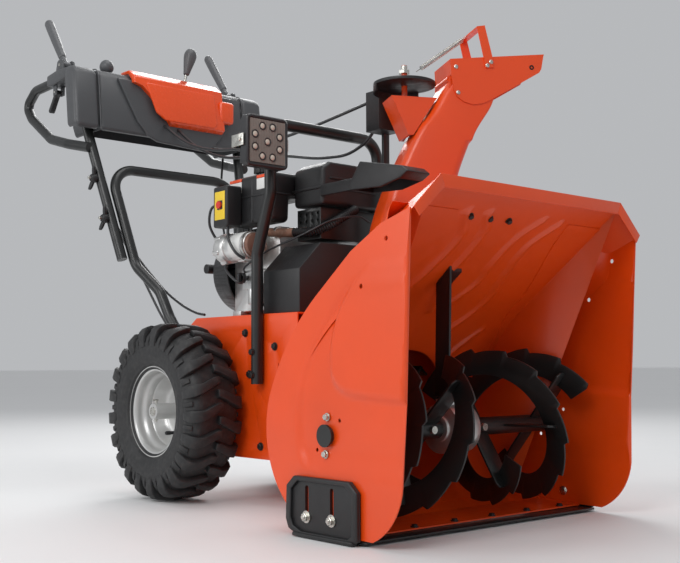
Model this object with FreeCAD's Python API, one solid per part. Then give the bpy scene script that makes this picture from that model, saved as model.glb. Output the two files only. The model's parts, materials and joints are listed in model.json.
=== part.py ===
import FreeCAD, Part
import math
import os

# Two stage snowblower, millimetres, +Z up.
# The machine faces -Y, its operator stands at +Y, and "right" is the operator's right, at -X.
# X is counted from the machine's middle plane and Y from the front plane of the auger housing.
# FRAME_SHIFT moves the finished pieces so that the origin is under the middle of the whole machine,
# whose chute is turned to the left and so reaches out further on that side.

V = FreeCAD.Vector
FRAME_SHIFT = V(-14.0, -750.0, 0)

# ---- driving dimensions ----
CLEARING_WIDTH = 610.0        # across the two side plates
INTAKE_HEIGHT = 591.0         # ground to the roof lip
LIP_Y = -25.0                 # the roof lip overhangs the intake
CORNER_Z = 533.0              # where a side plate's front edge meets the roof's corner facet
CORNER_X = 61.0               # width of the corner facet at the lip
FACET_END_Y = 124.0           # where the corner facet runs out
SHEET = 2.5                   # housing sheet
AUGER_Y = 189.0
AUGER_Z = 171.0               # auger, impeller and gearbox share this height
AUGER_R = 150.0
RIBBON_WIDTH = 52.0
RIBBON_PITCH = 240.0
AUGER_TUBE_R = 17.0
GEARBOX_HALF = 36.0
MOUTH_R = 146.0               # opening from the auger housing into the drum
DRUM_R = 156.0
DRUM_FRONT_Y = 346.0
DRUM_BACK_Y = 470.0
IMPELLER_R = 148.0
CHUTE_X, CHUTE_Y = 65.0, 371.0    # the chute's vertical turning axis
CHUTE_TURN = 63.0             # the chute stands turned to the left by this many degrees
CHUTE_R = 82.0
CHUTE_BASE_Z = 428.0
CHUTE_HALF = 48.0             # half width of the spout
DISC_Z = 866.0
CASE_HALF = 135.0             # chassis case
CASE_FRONT_Y = 478.0
CASE_BACK_Y = 895.0
CASE_LOW_Z = 95.0
CASE_TOP_Z = 395.0
TYRE_R = 190.5                # 15 inch tyre
TYRE_WIDTH = 127.0
WHEEL_X = 211.0               # middle of a tyre
AXLE_Y = 820.0
RIM_R = 93.0
AXLE_R = 9.5
CRANK_Z = 500.0
HOOP_Y = 548.0
HOOP_HALF = 150.0
HOOP_TOP_Z = 790.0
TUBE_R = 12.5                 # 1 inch handlebar tube
LOOP_X = 250.0
LOOP_TOP_Z = 1024.0
CONSOLE_HALF = 217.0
CONSOLE_END = 285.0
GAP = 0.4                     # clearance between bodies that turn past each other

HALF = CLEARING_WIDTH / 2
X, Y, Z = V(1, 0, 0), V(0, 1, 0), V(0, 0, 1)
RIGHT, LEFT = -1, 1


# ---- shape helpers ----
def box(x0, x1, y0, y1, z0, z1):
    return Part.makeBox(x1 - x0, y1 - y0, z1 - z0, V(x0, y0, z0))


def rod(start, end, radius):
    """A round bar between two points."""
    a, b = V(*start), V(*end)
    return Part.makeCylinder(radius, (b - a).Length, a, b - a)


def ring(start, end, outer, inner):
    return rod(start, end, outer).cut(rod(start, end, inner))


def polygon(points):
    vectors = [V(*p) for p in points]
    return Part.Face(Part.makePolygon(vectors + vectors[:1]))


def slab_x(outline, x0, x1):
    """An outline of (y, z) points, extruded from x0 to x1."""
    return polygon([(x0, y, z) for y, z in outline]).extrude(X * (x1 - x0))


def slab_y(outline, y0, y1):
    """An outline of (x, z) points, extruded from y0 to y1."""
    return polygon([(x, y0, z) for x, z in outline]).extrude(Y * (y1 - y0))


def slab_z(outline, z0, z1):
    """An outline of (x, y) points, extruded from z0 to z1."""
    return polygon([(x, y, z0) for x, y in outline]).extrude(Z * (z1 - z0))


def bent_wire(points, bend):
    """Straight runs through the points, joined by tangent arcs of radius bend or as much as fits."""
    pts = [V(*p) for p in points]
    edges = []
    start = pts[0]
    for before, corner, after in zip(pts, pts[1:], pts[2:]):
        back = (before - corner).normalize()
        ahead = (after - corner).normalize()
        half_turn = (math.pi - back.getAngle(ahead)) / 2
        room = 0.45 * min((before - corner).Length, (after - corner).Length)
        trim = min(room, bend * math.tan(half_turn))
        first, last = corner + back * trim, corner + ahead * trim
        radius = trim / math.tan(half_turn)
        inward = (back + ahead).normalize()
        middle = corner + inward * (radius / math.cos(half_turn) - radius)
        edges.append(Part.LineSegment(start, first).toShape())
        edges.append(Part.Arc(first, middle, last).toShape())
        start = last
    edges.append(Part.LineSegment(start, pts[-1]).toShape())
    return Part.Wire(edges)


def bent_tube(points, bend, radius):
    """A round bar bent along the points."""
    path = bent_wire(points, bend)
    start, heading = V(*points[0]), V(*points[1]) - V(*points[0])
    profile = Part.Wire(Part.makeCircle(radius, start, heading))
    return path.makePipeShell([profile], True, False)


def union(shapes):
    shapes = list(shapes)
    return shapes[0].multiFuse(shapes[1:]).removeSplitter()


def mirrored(shape):
    return shape.mirror(V(0, 0, 0), X)


def round_edges(solid, radius, direction):
    """Round every edge that runs along the given direction."""
    found = [e for e in solid.Edges if abs(e.tangentAt(e.FirstParameter).dot(direction)) > 0.9]
    return solid.makeFillet(radius, found)


def group(shapes):
    """Separate solids that share one node."""
    return Part.makeCompound(list(shapes))


def triangles_to_solid(triangles):
    faces = [polygon([a, b, c]) for a, b, c in triangles]
    solid = Part.Solid(Part.Shell(faces))
    if solid.Volume < 0:
        solid.reverse()
    return solid


def bolt_x(x, y, z, side, head_r=8.0, head=6.0, shank_r=4.0, shank=14.0):
    """A bolt along X whose head stands out on the given side of the plane x."""
    return union([rod((x, y, z), (x + side * head, y, z), head_r),
                  rod((x, y, z), (x - side * shank, y, z), shank_r)])


# ---- auger housing ----
# Side outline of the roof, back and floor sheet, from the lip over the back to the scraper.
ROOF_LINE = [(LIP_Y, INTAKE_HEIGHT), (201.0, 416.0)]
BACK_ARC = [(201.0, 416.0), (287.0, 333.0), (345.0, 232.0)]
LOWER_ARC = [(345.0, 232.0), (336.0, 103.0), (225.0, 12.0)]
FLOOR_END = (128.0, 8.0)
PLATE_TOP = [(-17.0, CORNER_Z), (51.0, 514.0), (FACET_END_Y, 475.0)]
PLATE_FRONT = [(75.0, 9.0), (26.0, 48.0), (6.0, 100.0), (0.0, 228.0)]


def arc(points, depth_x=0.0):
    a, m, b = [V(depth_x, y, z) for y, z in points]
    return Part.Arc(a, m, b).toShape()


def line(a, b, depth_x=0.0):
    return Part.LineSegment(V(depth_x, *a), V(depth_x, *b)).toShape()


def sheet_outline():
    """The roof sheet's open outline as a wire in the plane x = 0."""
    return Part.Wire([line(*ROOF_LINE), arc(BACK_ARC), arc(LOWER_ARC), line(LOWER_ARC[-1], FLOOR_END)])


def housing_block(half, inset):
    """The housing's outer volume, inset evenly on every face but the open front."""
    front = [FLOOR_END, (-60.0, -40.0), (-60.0, INTAKE_HEIGHT + 27.0), ROOF_LINE[0]]
    closing = [line(a, b) for a, b in zip(front, front[1:])]
    face = Part.Face(Part.Wire(sheet_outline().Edges + closing))
    if inset:
        face = face.makeOffset2D(-inset)
    block = face.extrude(X * (2 * half))
    block.translate(X * -half)
    for side in (RIGHT, LEFT):
        block = block.cut(corner_wedge(side, half, inset))
    return block


def corner_wedge(side, half, inset):
    """What the slanted corner facet takes off a roof edge."""
    slope = (INTAKE_HEIGHT - CORNER_Z) / CORNER_X
    low = CORNER_Z - inset * 1.3
    corner_out = V(side * (half + 1), LIP_Y, low - slope)
    corner_in = V(side * (half - CORNER_X - 3), LIP_Y, low + slope * (CORNER_X + 3))
    end = V(side * half, FACET_END_Y, PLATE_TOP[-1][1] - inset * 1.3)
    normal = (corner_in - corner_out).cross(end - corner_out).normalize()
    if normal.z < 0:
        normal = normal * -1
    plane = Part.makePlane(900.0, 900.0, V(0, 0, 0), normal)
    plane.translate(corner_out - plane.CenterOfMass)
    x0, x1 = sorted((side * (half - 150), side * (half + 100)))
    return plane.extrude(normal * 800).common(box(x0, x1, -120.0, FACET_END_Y + 8, 330.0, 790.0))


def intake_cut():
    """Everything in front of the intake's edges, which is open."""
    outline = [(-17.0, CORNER_Z), (0.0, 228.0), (6.0, 100.0), (26.0, 48.0), (75.0, 9.0),
               (128.0, 14.0), (128.0, -60.0), (-300.0, -60.0), (-300.0, 900.0), (LIP_Y, 900.0),
               (LIP_Y, INTAKE_HEIGHT)]
    return slab_x(outline, -HALF - 50, HALF + 50)


def housing_shell():
    """Roof, back and floor sheet with its corner facets, the folded lip and the drum's mouth."""
    half = HALF - SHEET
    shell = housing_block(half, 0.0).cut(housing_block(half + 1.0, SHEET))
    shell = shell.cut(intake_cut())
    mouth = rod((0, 250, AUGER_Z), (0, 420, AUGER_Z), MOUTH_R)
    shell = shell.cut(mouth)
    half_lip = HALF - CORNER_X
    lip = box(-half_lip, half_lip, LIP_Y - 0.5, LIP_Y + 1.5, INTAKE_HEIGHT - 22, INTAKE_HEIGHT - 3)
    return union([shell, lip])


def plate_outline():
    """A side plate's outline as a closed wire in the plane x = 0."""
    top = PLATE_TOP
    front = PLATE_FRONT
    edges = [line(top[0], top[1]), line(top[1], top[2]), line(top[2], BACK_ARC[0])]
    edges += [arc(BACK_ARC), arc(LOWER_ARC), line(LOWER_ARC[-1], front[0])]
    edges += [Part.Arc(V(0, *front[0]), V(0, *front[1]), V(0, *front[2])).toShape()]
    edges += [line(front[2], front[3]), line(front[3], top[0])]
    return Part.Wire(edges)


CUTTER_HOLES = ((38.0, 489.0), (96.0, 416.0))     # for drift cutter bars
CUTTER_HOLE_R = 4.2


def side_plate(side):
    """Pressed side plate with the auger bearing's hole and the skid's two bolt holes."""
    plate = Part.Face(plate_outline()).extrude(X * SHEET)
    plate.translate(X * (HALF - SHEET))
    plate = plate.cut(rod((HALF - 10, AUGER_Y, AUGER_Z), (HALF + 10, AUGER_Y, AUGER_Z), 16.0))
    for y, z in SKID_BOLTS:
        plate = plate.cut(rod((HALF - 10, y, z), (HALF + 10, y, z), 4.2))
    for y, z in CUTTER_HOLES:
        plate = plate.cut(rod((HALF - 10, y, z), (HALF + 10, y, z), CUTTER_HOLE_R))
    return plate if side == LEFT else mirrored(plate)


def scraper_bar():
    """Replaceable steel wear bar bolted under the floor's front edge."""
    outline = [(92.0, 3.0), (146.0, 3.0), (146.0, 7.0), (92.0, 7.0)]
    return slab_x(outline, -HALF + SHEET, HALF - SHEET)


# ---- skid shoes ----
SKID_BOLTS = ((231.0, 34.0), (166.0, 34.0))
SKID_TRAVEL = 24.0


def skid_shoe(side):
    """Reversible skid shoe with two height slots and a turned-out runner."""
    outline = [(100.0, 6.0), (112.0, 0.0), (250.0, 0.0), (278.0, 10.0), (284.0, 26.0), (282.0, 84.0),
               (262.0, 102.0), (120.0, 102.0), (100.0, 84.0)]
    shoe = slab_x(outline, HALF + 0.5, HALF + 6.5)
    runner = slab_x([(112.0, 0.0), (250.0, 0.0), (262.0, 7.0), (108.0, 7.0)], HALF + 0.5, HALF + 15.0)
    shoe = union([shoe, runner])
    for y, z in SKID_BOLTS:
        slot = box(HALF, HALF + 12, y - 4.6, y + 4.6, z, z + 2 * SKID_TRAVEL)
        shoe = shoe.cut(slot)
        for end in (z, z + 2 * SKID_TRAVEL):
            shoe = shoe.cut(rod((HALF, y, end), (HALF + 12, y, end), 4.6))
    return shoe if side == LEFT else mirrored(shoe)


def skid_bolts():
    """Carriage bolts with washers that clamp the two skid shoes."""
    found = []
    for side in (RIGHT, LEFT):
        for y, z in SKID_BOLTS:
            inner, outer = side * (HALF - SHEET), side * (HALF + 6.7)
            shank = rod((inner - side * 4, y, z), (outer + side * 10, y, z), 4.0)
            washer = rod((outer, y, z), (outer + side * 2, y, z), 10.0)
            nut = rod((outer + side * 2, y, z), (outer + side * 8, y, z), 7.0)
            head = rod((inner - side * 5, y, z), (inner, y, z), 9.0)
            found.append(union([shank, washer, nut, head]))
    return found


# ---- bearings ----
def flange_bearings():
    """Auger bearings in the side plates and axle bearings in the chassis case."""
    found = []
    for side in (RIGHT, LEFT):
        x = side * HALF
        cap = rod((x, AUGER_Y, AUGER_Z), (x + side * 4, AUGER_Y, AUGER_Z), 19.0)
        barrel = rod((x - side * 16, AUGER_Y, AUGER_Z), (x, AUGER_Y, AUGER_Z), 15.8)
        bore = rod((x - side * 17, AUGER_Y, AUGER_Z), (x - side * 2, AUGER_Y, AUGER_Z), 9.55)
        found.append(union([cap, barrel]).cut(bore))
        x = side * CASE_HALF
        flange = rod((x, AXLE_Y, TYRE_R), (x + side * 4, AXLE_Y, TYRE_R), 24.0)
        barrel = rod((x - side * 10, AXLE_Y, TYRE_R), (x, AXLE_Y, TYRE_R), 16.0)
        bore = rod((x - side * 11, AXLE_Y, TYRE_R), (x + side * 5, AXLE_Y, TYRE_R), AXLE_R + 0.06)
        found.append(union([flange, barrel]).cut(bore))
    return group(found)


# ---- auger ----
def auger_point(x, angle, radius):
    """A point on a turn about the auger's axis; angle 0 is up and 90 degrees is forward."""
    return (x, AUGER_Y - radius * math.sin(angle), AUGER_Z + radius * math.cos(angle))


def ribbon(side, start_angle, turns, teeth):
    """A serrated steel ribbon wound about the auger's axis, from the gearbox to the side plate."""
    first_x, thickness, notch = GEARBOX_HALF + 14.0, 4.0, 11.0
    step = turns * 2 * math.pi / teeth
    stations = []
    for tooth in range(teeth):
        for share, bite in ((0.0, notch), (0.45, 2.0), (0.94, 0.0)):
            angle = (tooth + share) * step
            stations.append((angle, AUGER_R - bite))
    stations.append((teeth * step, AUGER_R - notch))
    sections = []
    for angle, outer in stations:
        x = side * (first_x + RIBBON_PITCH * angle / (2 * math.pi))
        turn = start_angle + angle
        inner = AUGER_R - RIBBON_WIDTH
        low, high = x - thickness / 2, x + thickness / 2
        sections.append([auger_point(low, turn, inner), auger_point(low, turn, outer),
                         auger_point(high, turn, outer), auger_point(high, turn, inner)])
    triangles = []
    for here, there in zip(sections, sections[1:]):
        for i in range(4):
            j = (i + 1) % 4
            triangles.append((here[i], here[j], there[j]))
            triangles.append((here[i], there[j], there[i]))
    for cap in (sections[0], sections[-1]):
        triangles.append((cap[0], cap[1], cap[2]))
        triangles.append((cap[0], cap[2], cap[3]))
    return triangles_to_solid(triangles)


def paddle(side, start_angle, share, turns):
    """A flat arm from the auger's tube to its ribbon, part of the way along the ribbon."""
    angle = share * turns * 2 * math.pi
    x = side * (GEARBOX_HALF + 14.0 + RIBBON_PITCH * angle / (2 * math.pi))
    arm = box(x - 19, x + 19, AUGER_Y - 2.5, AUGER_Y + 2.5,
              AUGER_Z + AUGER_TUBE_R - 3, AUGER_Z + AUGER_R - 22)
    arm.rotate(V(x, AUGER_Y, AUGER_Z), X, math.degrees(start_angle + angle))
    return arm


SHEAR_X = 68.0                # shear bolts, from the middle plane
RIBBON_TURNS = 0.84
RIBBON_START = {RIGHT: (15.0, 195.0), LEFT: (118.0, 298.0)}


def auger_flight(side):
    """Two ribbons, their arms and the tube that carries them on the auger shaft."""
    x0, x1 = side * (GEARBOX_HALF + 3.0), side * (HALF - SHEET - 18.0)
    parts = [ring((x0, AUGER_Y, AUGER_Z), (x1, AUGER_Y, AUGER_Z), AUGER_TUBE_R, 9.6)]
    for degrees in RIBBON_START[side]:
        start = math.radians(degrees)
        parts.append(ribbon(side, start, RIBBON_TURNS, 11))
        for share in (0.10, 0.5, 0.93):
            parts.append(paddle(side, start, share, RIBBON_TURNS))
    flight = parts[0].multiFuse(parts[1:])
    x = side * SHEAR_X
    hole = rod((x, AUGER_Y - 30, AUGER_Z), (x, AUGER_Y + 30, AUGER_Z), 4.0)
    return flight.cut(hole)


def auger_shaft():
    """The through shaft, with the cross holes of its two shear bolts."""
    shaft = rod((-HALF + 3, AUGER_Y, AUGER_Z), (HALF - 3, AUGER_Y, AUGER_Z), 9.5)
    for x in (-SHEAR_X, SHEAR_X):
        shaft = shaft.cut(rod((x, AUGER_Y - 30, AUGER_Z), (x, AUGER_Y + 30, AUGER_Z), 4.0))
    return shaft


def shear_bolts():
    """The bolts that break before the gears do, one in each flight's tube."""
    found = []
    for x in (-SHEAR_X, SHEAR_X):
        shank = rod((x, AUGER_Y - 24, AUGER_Z), (x, AUGER_Y + 24, AUGER_Z), 3.9)
        head = rod((x, AUGER_Y - 24, AUGER_Z), (x, AUGER_Y - 18, AUGER_Z), 7.0)
        nut = rod((x, AUGER_Y + 18, AUGER_Z), (x, AUGER_Y + 24, AUGER_Z), 7.0)
        found.append(union([shank, head, nut]))
    return group(found)


def auger_gearbox():
    """Cast worm gear housing between the flights, bored for the auger and impeller shafts."""
    wheel_case = rod((-30, AUGER_Y, AUGER_Z), (30, AUGER_Y, AUGER_Z), 46.0)
    hubs = rod((-GEARBOX_HALF, AUGER_Y, AUGER_Z), (GEARBOX_HALF, AUGER_Y, AUGER_Z), 24.0)
    snout = Part.makeCone(32.0, 24.0, 90.0, V(0, AUGER_Y + 20, AUGER_Z), Y)
    nose = rod((0, AUGER_Y - 52, AUGER_Z), (0, AUGER_Y, AUGER_Z), 20.0)
    flange = box(-26, 26, AUGER_Y - 14, AUGER_Y + 14, AUGER_Z + 38, AUGER_Z + 54)
    case = union([wheel_case, hubs, snout, nose, flange])
    case = case.cut(rod((-60, AUGER_Y, AUGER_Z), (60, AUGER_Y, AUGER_Z), 9.56))
    return case.cut(rod((0, AUGER_Y + 34, AUGER_Z), (0, AUGER_Y + 150, AUGER_Z), 9.56))


STRUT_TOP = (-58.0, 150.0, 452.0)
STRUT_FOOT = (-34.0, 180.0, 233.0)
STRUT_HALF = 17.0


def strut_point(dy, z):
    """A point on the strut's outer face, dy from its middle line at height z."""
    share = (STRUT_TOP[2] - z) / (STRUT_TOP[2] - STRUT_FOOT[2])
    x, y = (a + (b - a) * share for a, b in zip(STRUT_TOP[:2], STRUT_FOOT[:2]))
    return (x, y + dy, z)


def gearbox_strut():
    """Flat bar leaning from the roof to the gearbox's top lug, with a bent foot at each end."""
    corners = [strut_point(-STRUT_HALF, 230.0), strut_point(-STRUT_HALF, 480.0),
               strut_point(STRUT_HALF, 480.0), strut_point(STRUT_HALF, 230.0)]
    bar = polygon(corners).extrude(X * 5)
    top_foot = box(STRUT_TOP[0], STRUT_TOP[0] + 34, STRUT_TOP[1] - 15, STRUT_TOP[1] + 15, 400.0, 490.0)
    top_foot = top_foot.common(housing_block(HALF - SHEET, 3.0)).cut(housing_block(HALF - SHEET, 8.0))
    bar = bar.common(housing_block(HALF - SHEET, 3.0))
    low_foot = box(STRUT_FOOT[0], 14, STRUT_FOOT[1] - STRUT_HALF, AUGER_Y + 12, 230, 236)
    post = box(-14, 14, AUGER_Y - 12, AUGER_Y + 12, AUGER_Z + 54, 230)
    return union([bar, top_foot, low_foot, post])


# ---- impeller and drum ----
def impeller():
    """Three box blades on a hub, welded to the long shaft that carries the worm and the pulley."""
    hub = rod((0, DRUM_FRONT_Y + 14, AUGER_Z), (0, DRUM_BACK_Y - 12, AUGER_Z), 24.0)
    shaft = rod((0, AUGER_Y + 36, AUGER_Z), (0, CASE_FRONT_Y + 62, AUGER_Z), 9.5)
    parts = [hub, shaft]
    for k in range(3):
        blade = box(-3, 3, DRUM_FRONT_Y + 12, DRUM_BACK_Y - 14, AUGER_Z + 20, AUGER_Z + IMPELLER_R)
        foot = box(-3, 30, DRUM_BACK_Y - 20, DRUM_BACK_Y - 14, AUGER_Z + 20, AUGER_Z + IMPELLER_R - 14)
        scoop = box(-3, 22, DRUM_FRONT_Y + 12, DRUM_BACK_Y - 14,
                    AUGER_Z + IMPELLER_R - 6, AUGER_Z + IMPELLER_R - 1.5)
        arm = union([blade, foot, scoop])
        arm = arm.common(rod((0, DRUM_FRONT_Y, AUGER_Z), (0, DRUM_BACK_Y, AUGER_Z), IMPELLER_R))
        arm.rotate(V(0, 0, AUGER_Z), Y, 40.0 + 120.0 * k)
        parts.append(arm)
    return union(parts)


def impeller_pulley():
    """V pulley on the back end of the impeller shaft."""
    y0 = CASE_FRONT_Y + 20
    wheel = rod((0, y0, AUGER_Z), (0, y0 + 26, AUGER_Z), PULLEY_LOW_R + 6)
    groove = ring((0, y0 + 7, AUGER_Z), (0, y0 + 19, AUGER_Z), PULLEY_LOW_R + 20, PULLEY_LOW_R)
    return wheel.cut(groove).cut(rod((0, y0 - 5, AUGER_Z), (0, y0 + 40, AUGER_Z), 9.5))


PULLEY_LOW_R, PULLEY_HIGH_R = 62.0, 31.0


def crank_pulley():
    """V pulley on the engine's crankshaft."""
    y0 = CASE_FRONT_Y + 20
    wheel = rod((0, y0, CRANK_Z), (0, y0 + 26, CRANK_Z), PULLEY_HIGH_R + 6)
    groove = ring((0, y0 + 7, CRANK_Z), (0, y0 + 19, CRANK_Z), PULLEY_HIGH_R + 20, PULLEY_HIGH_R)
    shaft = rod((0, y0 + 20, CRANK_Z), (0, ENGINE_FRONT_Y + 60, CRANK_Z), 12.5)
    return union([wheel.cut(groove), shaft])


def drive_belt():
    """The auger belt round both pulleys, in the bottom of their grooves."""
    y0, y1 = CASE_FRONT_Y + 28, CASE_FRONT_Y + 38

    def loop(low_r, high_r):
        low, high = V(0, y0, AUGER_Z), V(0, y0, CRANK_Z)
        span = CRANK_Z - AUGER_Z
        lean = math.asin((low_r - high_r) / span)
        c, s = math.cos(lean), math.sin(lean)
        low_right, low_left = low + V(low_r * c, 0, low_r * s), low + V(-low_r * c, 0, low_r * s)
        high_right, high_left = high + V(high_r * c, 0, high_r * s), high + V(-high_r * c, 0, high_r * s)
        edges = [Part.Arc(low_right, low - Z * low_r, low_left).toShape(),
                 Part.LineSegment(low_left, high_left).toShape(),
                 Part.Arc(high_left, high + Z * high_r, high_right).toShape(),
                 Part.LineSegment(high_right, low_right).toShape()]
        return Part.Face(Part.Wire(edges)).extrude(Y * (y1 - y0))

    return loop(PULLEY_LOW_R + 5.2, PULLEY_HIGH_R + 5.2).cut(loop(PULLEY_LOW_R + 0.2, PULLEY_HIGH_R + 0.2))


def impeller_drum():
    """Round impeller casing with its rear wall and the upright outlet that the chute turns on."""
    low, top = AUGER_Z + 60.0, CHUTE_BASE_Z - 0.5
    outer = rod((0, DRUM_FRONT_Y - 66, AUGER_Z), (0, DRUM_BACK_Y, AUGER_Z), DRUM_R)
    spout = rod((CHUTE_X, CHUTE_Y, low), (CHUTE_X, CHUTE_Y, top), CHUTE_R - 1)
    flange = rod((CHUTE_X, CHUTE_Y, top - 4), (CHUTE_X, CHUTE_Y, top), CHUTE_R + 12)
    hollow = rod((0, DRUM_FRONT_Y - 80, AUGER_Z), (0, DRUM_BACK_Y - 3, AUGER_Z), DRUM_R - 3)
    bore = rod((CHUTE_X, CHUTE_Y, low), (CHUTE_X, CHUTE_Y, top + 5), CHUTE_R - 4)
    behind_wall = box(-300, 300, DRUM_BACK_Y - 3, DRUM_BACK_Y + 80, 0, 600)
    shaft_hole = rod((0, DRUM_BACK_Y - 20, AUGER_Z), (0, DRUM_BACK_Y + 20, AUGER_Z), 13.0)
    casing = union([outer, spout.cut(behind_wall), flange])
    casing = casing.cut(hollow).cut(bore.cut(behind_wall)).cut(shaft_hole)
    return keep_largest(casing.cut(housing_block(HALF + 20, 0.0)))


def keep_largest(shape):
    return max(shape.Solids, key=lambda s: s.Volume)


# ---- chute ----
# The chute and its cap are built facing -Y about the turning axis, with reach counted forward
# from that axis, and then turned. Side outline as (reach, z), back edge and front edge upwards.
CHUTE_BACK = [(-81.0, 452.0), (-74.0, 540.0), (-48.0, 630.0), (-15.0, 705.0), (18.0, 770.0), (45.0, 806.0),
              (68.0, 846.0), (84.0, 872.0)]
CHUTE_FRONT = [(79.0, 452.0), (80.0, 520.0), (88.0, 610.0), (104.0, 678.0), (129.0, 744.0), (143.0, 775.0),
               (170.0, 816.0), (180.0, 838.0)]
CHUTE_HALVES = [79.0, 66.0, 52.0, 48.0, 48.0, 48.0, 48.0, 48.0]
HINGE_REACH, HINGE_Z = 88.0, 877.0
OPEN_REACH, OPEN_Z = 129.0, 744.0     # the spout's front is open above this point


def turned(shape):
    """Turn a piece that was built facing forward to the way the chute stands."""
    shape.rotate(V(CHUTE_X, CHUTE_Y, 0), Z, CHUTE_TURN)
    return shape


def slab_reach(outline, x0, x1):
    """An outline of (reach, z) points, extruded across the chute from x0 to x1."""
    return slab_x([(CHUTE_Y - reach, z) for reach, z in outline], CHUTE_X + x0, CHUTE_X + x1)


def spout_section(back, front, half, wall):
    """One cross-section of the spout: a rectangle with rounded corners, as 24 points."""
    b, f = V(CHUTE_X, CHUTE_Y - back[0], back[1]), V(CHUTE_X, CHUTE_Y - front[0], front[1])
    ahead = (f - b).normalize()
    b, f, half = b + ahead * wall, f - ahead * wall, half - wall
    depth = (f - b).Length
    corner = min(half, depth / 2) * (0.96 if half > 70 else 0.62 if half > 55 else 0.42)
    centre = (b + f) * 0.5
    points = []
    for k, (sx, sy) in enumerate(((1, 1), (-1, 1), (-1, -1), (1, -1))):
        for step in range(6):
            angle = math.pi / 2 * (k + step / 5)
            x = sx * (half - corner) + corner * math.cos(angle)
            y = sy * (depth / 2 - corner) + corner * math.sin(angle)
            points.append(centre + X * x + ahead * y)
    return Part.makePolygon(points + points[:1])


def spout_body(wall):
    stations = zip(CHUTE_BACK, CHUTE_FRONT, CHUTE_HALVES)
    sections = [spout_section(b, f, h, wall) for b, f, h in stations]
    return Part.makeLoft(sections, True, True)


def chute_spout():
    """Leaning discharge chute: a round foot that flares into a channel, open in front above."""
    low = Part.makeCylinder(CHUTE_R - 2, 40, V(CHUTE_X, CHUTE_Y, CHUTE_BASE_Z), Z)
    hollow = spout_body(2.2)
    opening = slab_reach([(OPEN_REACH - 26, OPEN_Z + 8), (OPEN_REACH + 20, OPEN_Z - 8), (300.0, 860.0),
                          (150.0, 860.0)], -CHUTE_HALF + 2.2, CHUTE_HALF - 2.2)
    upper = spout_body(0.0).cut(hollow).cut(opening).cut(low)
    top = slab_reach([(60.0, 866.5), (200.0, 832.0), (200.0, 900.0), (60.0, 900.0)], -80, 80)
    upper = upper.cut(top)
    base = V(CHUTE_X, CHUTE_Y, CHUTE_BASE_Z)
    foot = union([Part.makeCylinder(CHUTE_R + 2, 26, base), Part.makeCylinder(CHUTE_R + 12, 4, base)])
    foot = foot.cut(Part.makeCylinder(CHUTE_R - 5, 60, base - Z * 5))
    return turned(keep_largest(union([upper, foot])))


def chute_bracket():
    """Three-cornered box bracket from the spout's back to its upper pivot stud, and the cap's hinge."""
    outline = [(-38.0, 837.0), (60.0, 837.0), (8.0, 757.0), (-2.0, 757.0)]
    inner = [(-33.0, 833.0), (70.0, 833.0), (10.0, 740.0), (0.0, 762.0)]
    gusset = slab_reach(outline, -34, 34).cut(slab_reach(inner, -32, 32))
    stud = rod((CHUTE_X, CHUTE_Y, 834), (CHUTE_X, CHUTE_Y, 910), 6.0)
    nuts = [rod((CHUTE_X, CHUTE_Y, z), (CHUTE_X, CHUTE_Y, z + 7), 9.5) for z in (880.0, 893.0)]
    bracket = union([gusset, stud] + nuts).cut(spout_body(0.0))
    pin = rod((CHUTE_X - 47, hinge_y(), HINGE_Z), (CHUTE_X + 47, hinge_y(), HINGE_Z), 2.5)
    ears = [slab_reach([(82.0, 858.0), (95.0, 858.0), (93.0, 882.0), (83.0, 882.0)], a, b)
            for a, b in ((-45, -42), (42, 45))]
    hinge = union([pin] + ears).cut(spout_body(0.0))
    return turned(group([keep_largest(bracket), keep_largest(hinge)]))


def hinge_y():
    return CHUTE_Y - HINGE_REACH


CAP_HALF = CHUTE_HALF + 0.6
CAP_OUTLINE = [(84.0, 916.0), (292.0, 939.0), (286.0, 907.0), (281.0, 899.0), (227.0, 867.0), (172.0, 835.0),
               (152.0, 826.0), (132.0, 823.0), (112.0, 828.0), (98.0, 838.0), (90.0, 853.0), (86.0, 880.0)]


def chute_deflector():
    """Tilting cap on the chute: two cheeks, top, short back and hinge tube, and its bail strap."""
    x = CAP_HALF + 2.0
    cheeks = [slab_reach(CAP_OUTLINE, -x, -CAP_HALF), slab_reach(CAP_OUTLINE, CAP_HALF, x)]
    top = slab_reach([(84.0, 916.0), (292.0, 939.0), (292.3, 936.6), (86.5, 913.8)], -x, x)
    back = slab_reach([(84.0, 916.0), (86.4, 915.0), (89.0, 884.5), (86.6, 884.0)], -x, x)
    knuckle = ring((CHUTE_X - 38, hinge_y(), HINGE_Z), (CHUTE_X + 38, hinge_y(), HINGE_Z), 7.5, 2.56)
    strap = [(160.0, 901.0), (178.0, 903.0), (175.0, 927.0), (160.0, 988.0), (143.0, 985.0), (156.0, 925.0)]
    legs = [slab_reach(strap, -x - 3, -x), slab_reach(strap, x, x + 3)]
    bridge = slab_reach([(143.0, 985.0), (160.0, 988.0), (160.0, 991.0), (142.4, 988.0)], -x - 3, x + 3)
    return turned(union(cheeks + [top, back, knuckle, bridge] + legs))


SPRING_FOOT = (26.0, 899.0)
SPRING_HEAD = (140.0, 982.0)


def deflector_spring():
    """Outline of the return spring between the pivot stud and the bail."""
    a = V(CHUTE_X, CHUTE_Y - SPRING_FOOT[0], SPRING_FOOT[1])
    b = V(CHUTE_X, CHUTE_Y - SPRING_HEAD[0], SPRING_HEAD[1])
    return turned(rod(tuple(a), tuple(b), 5.0))


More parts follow.
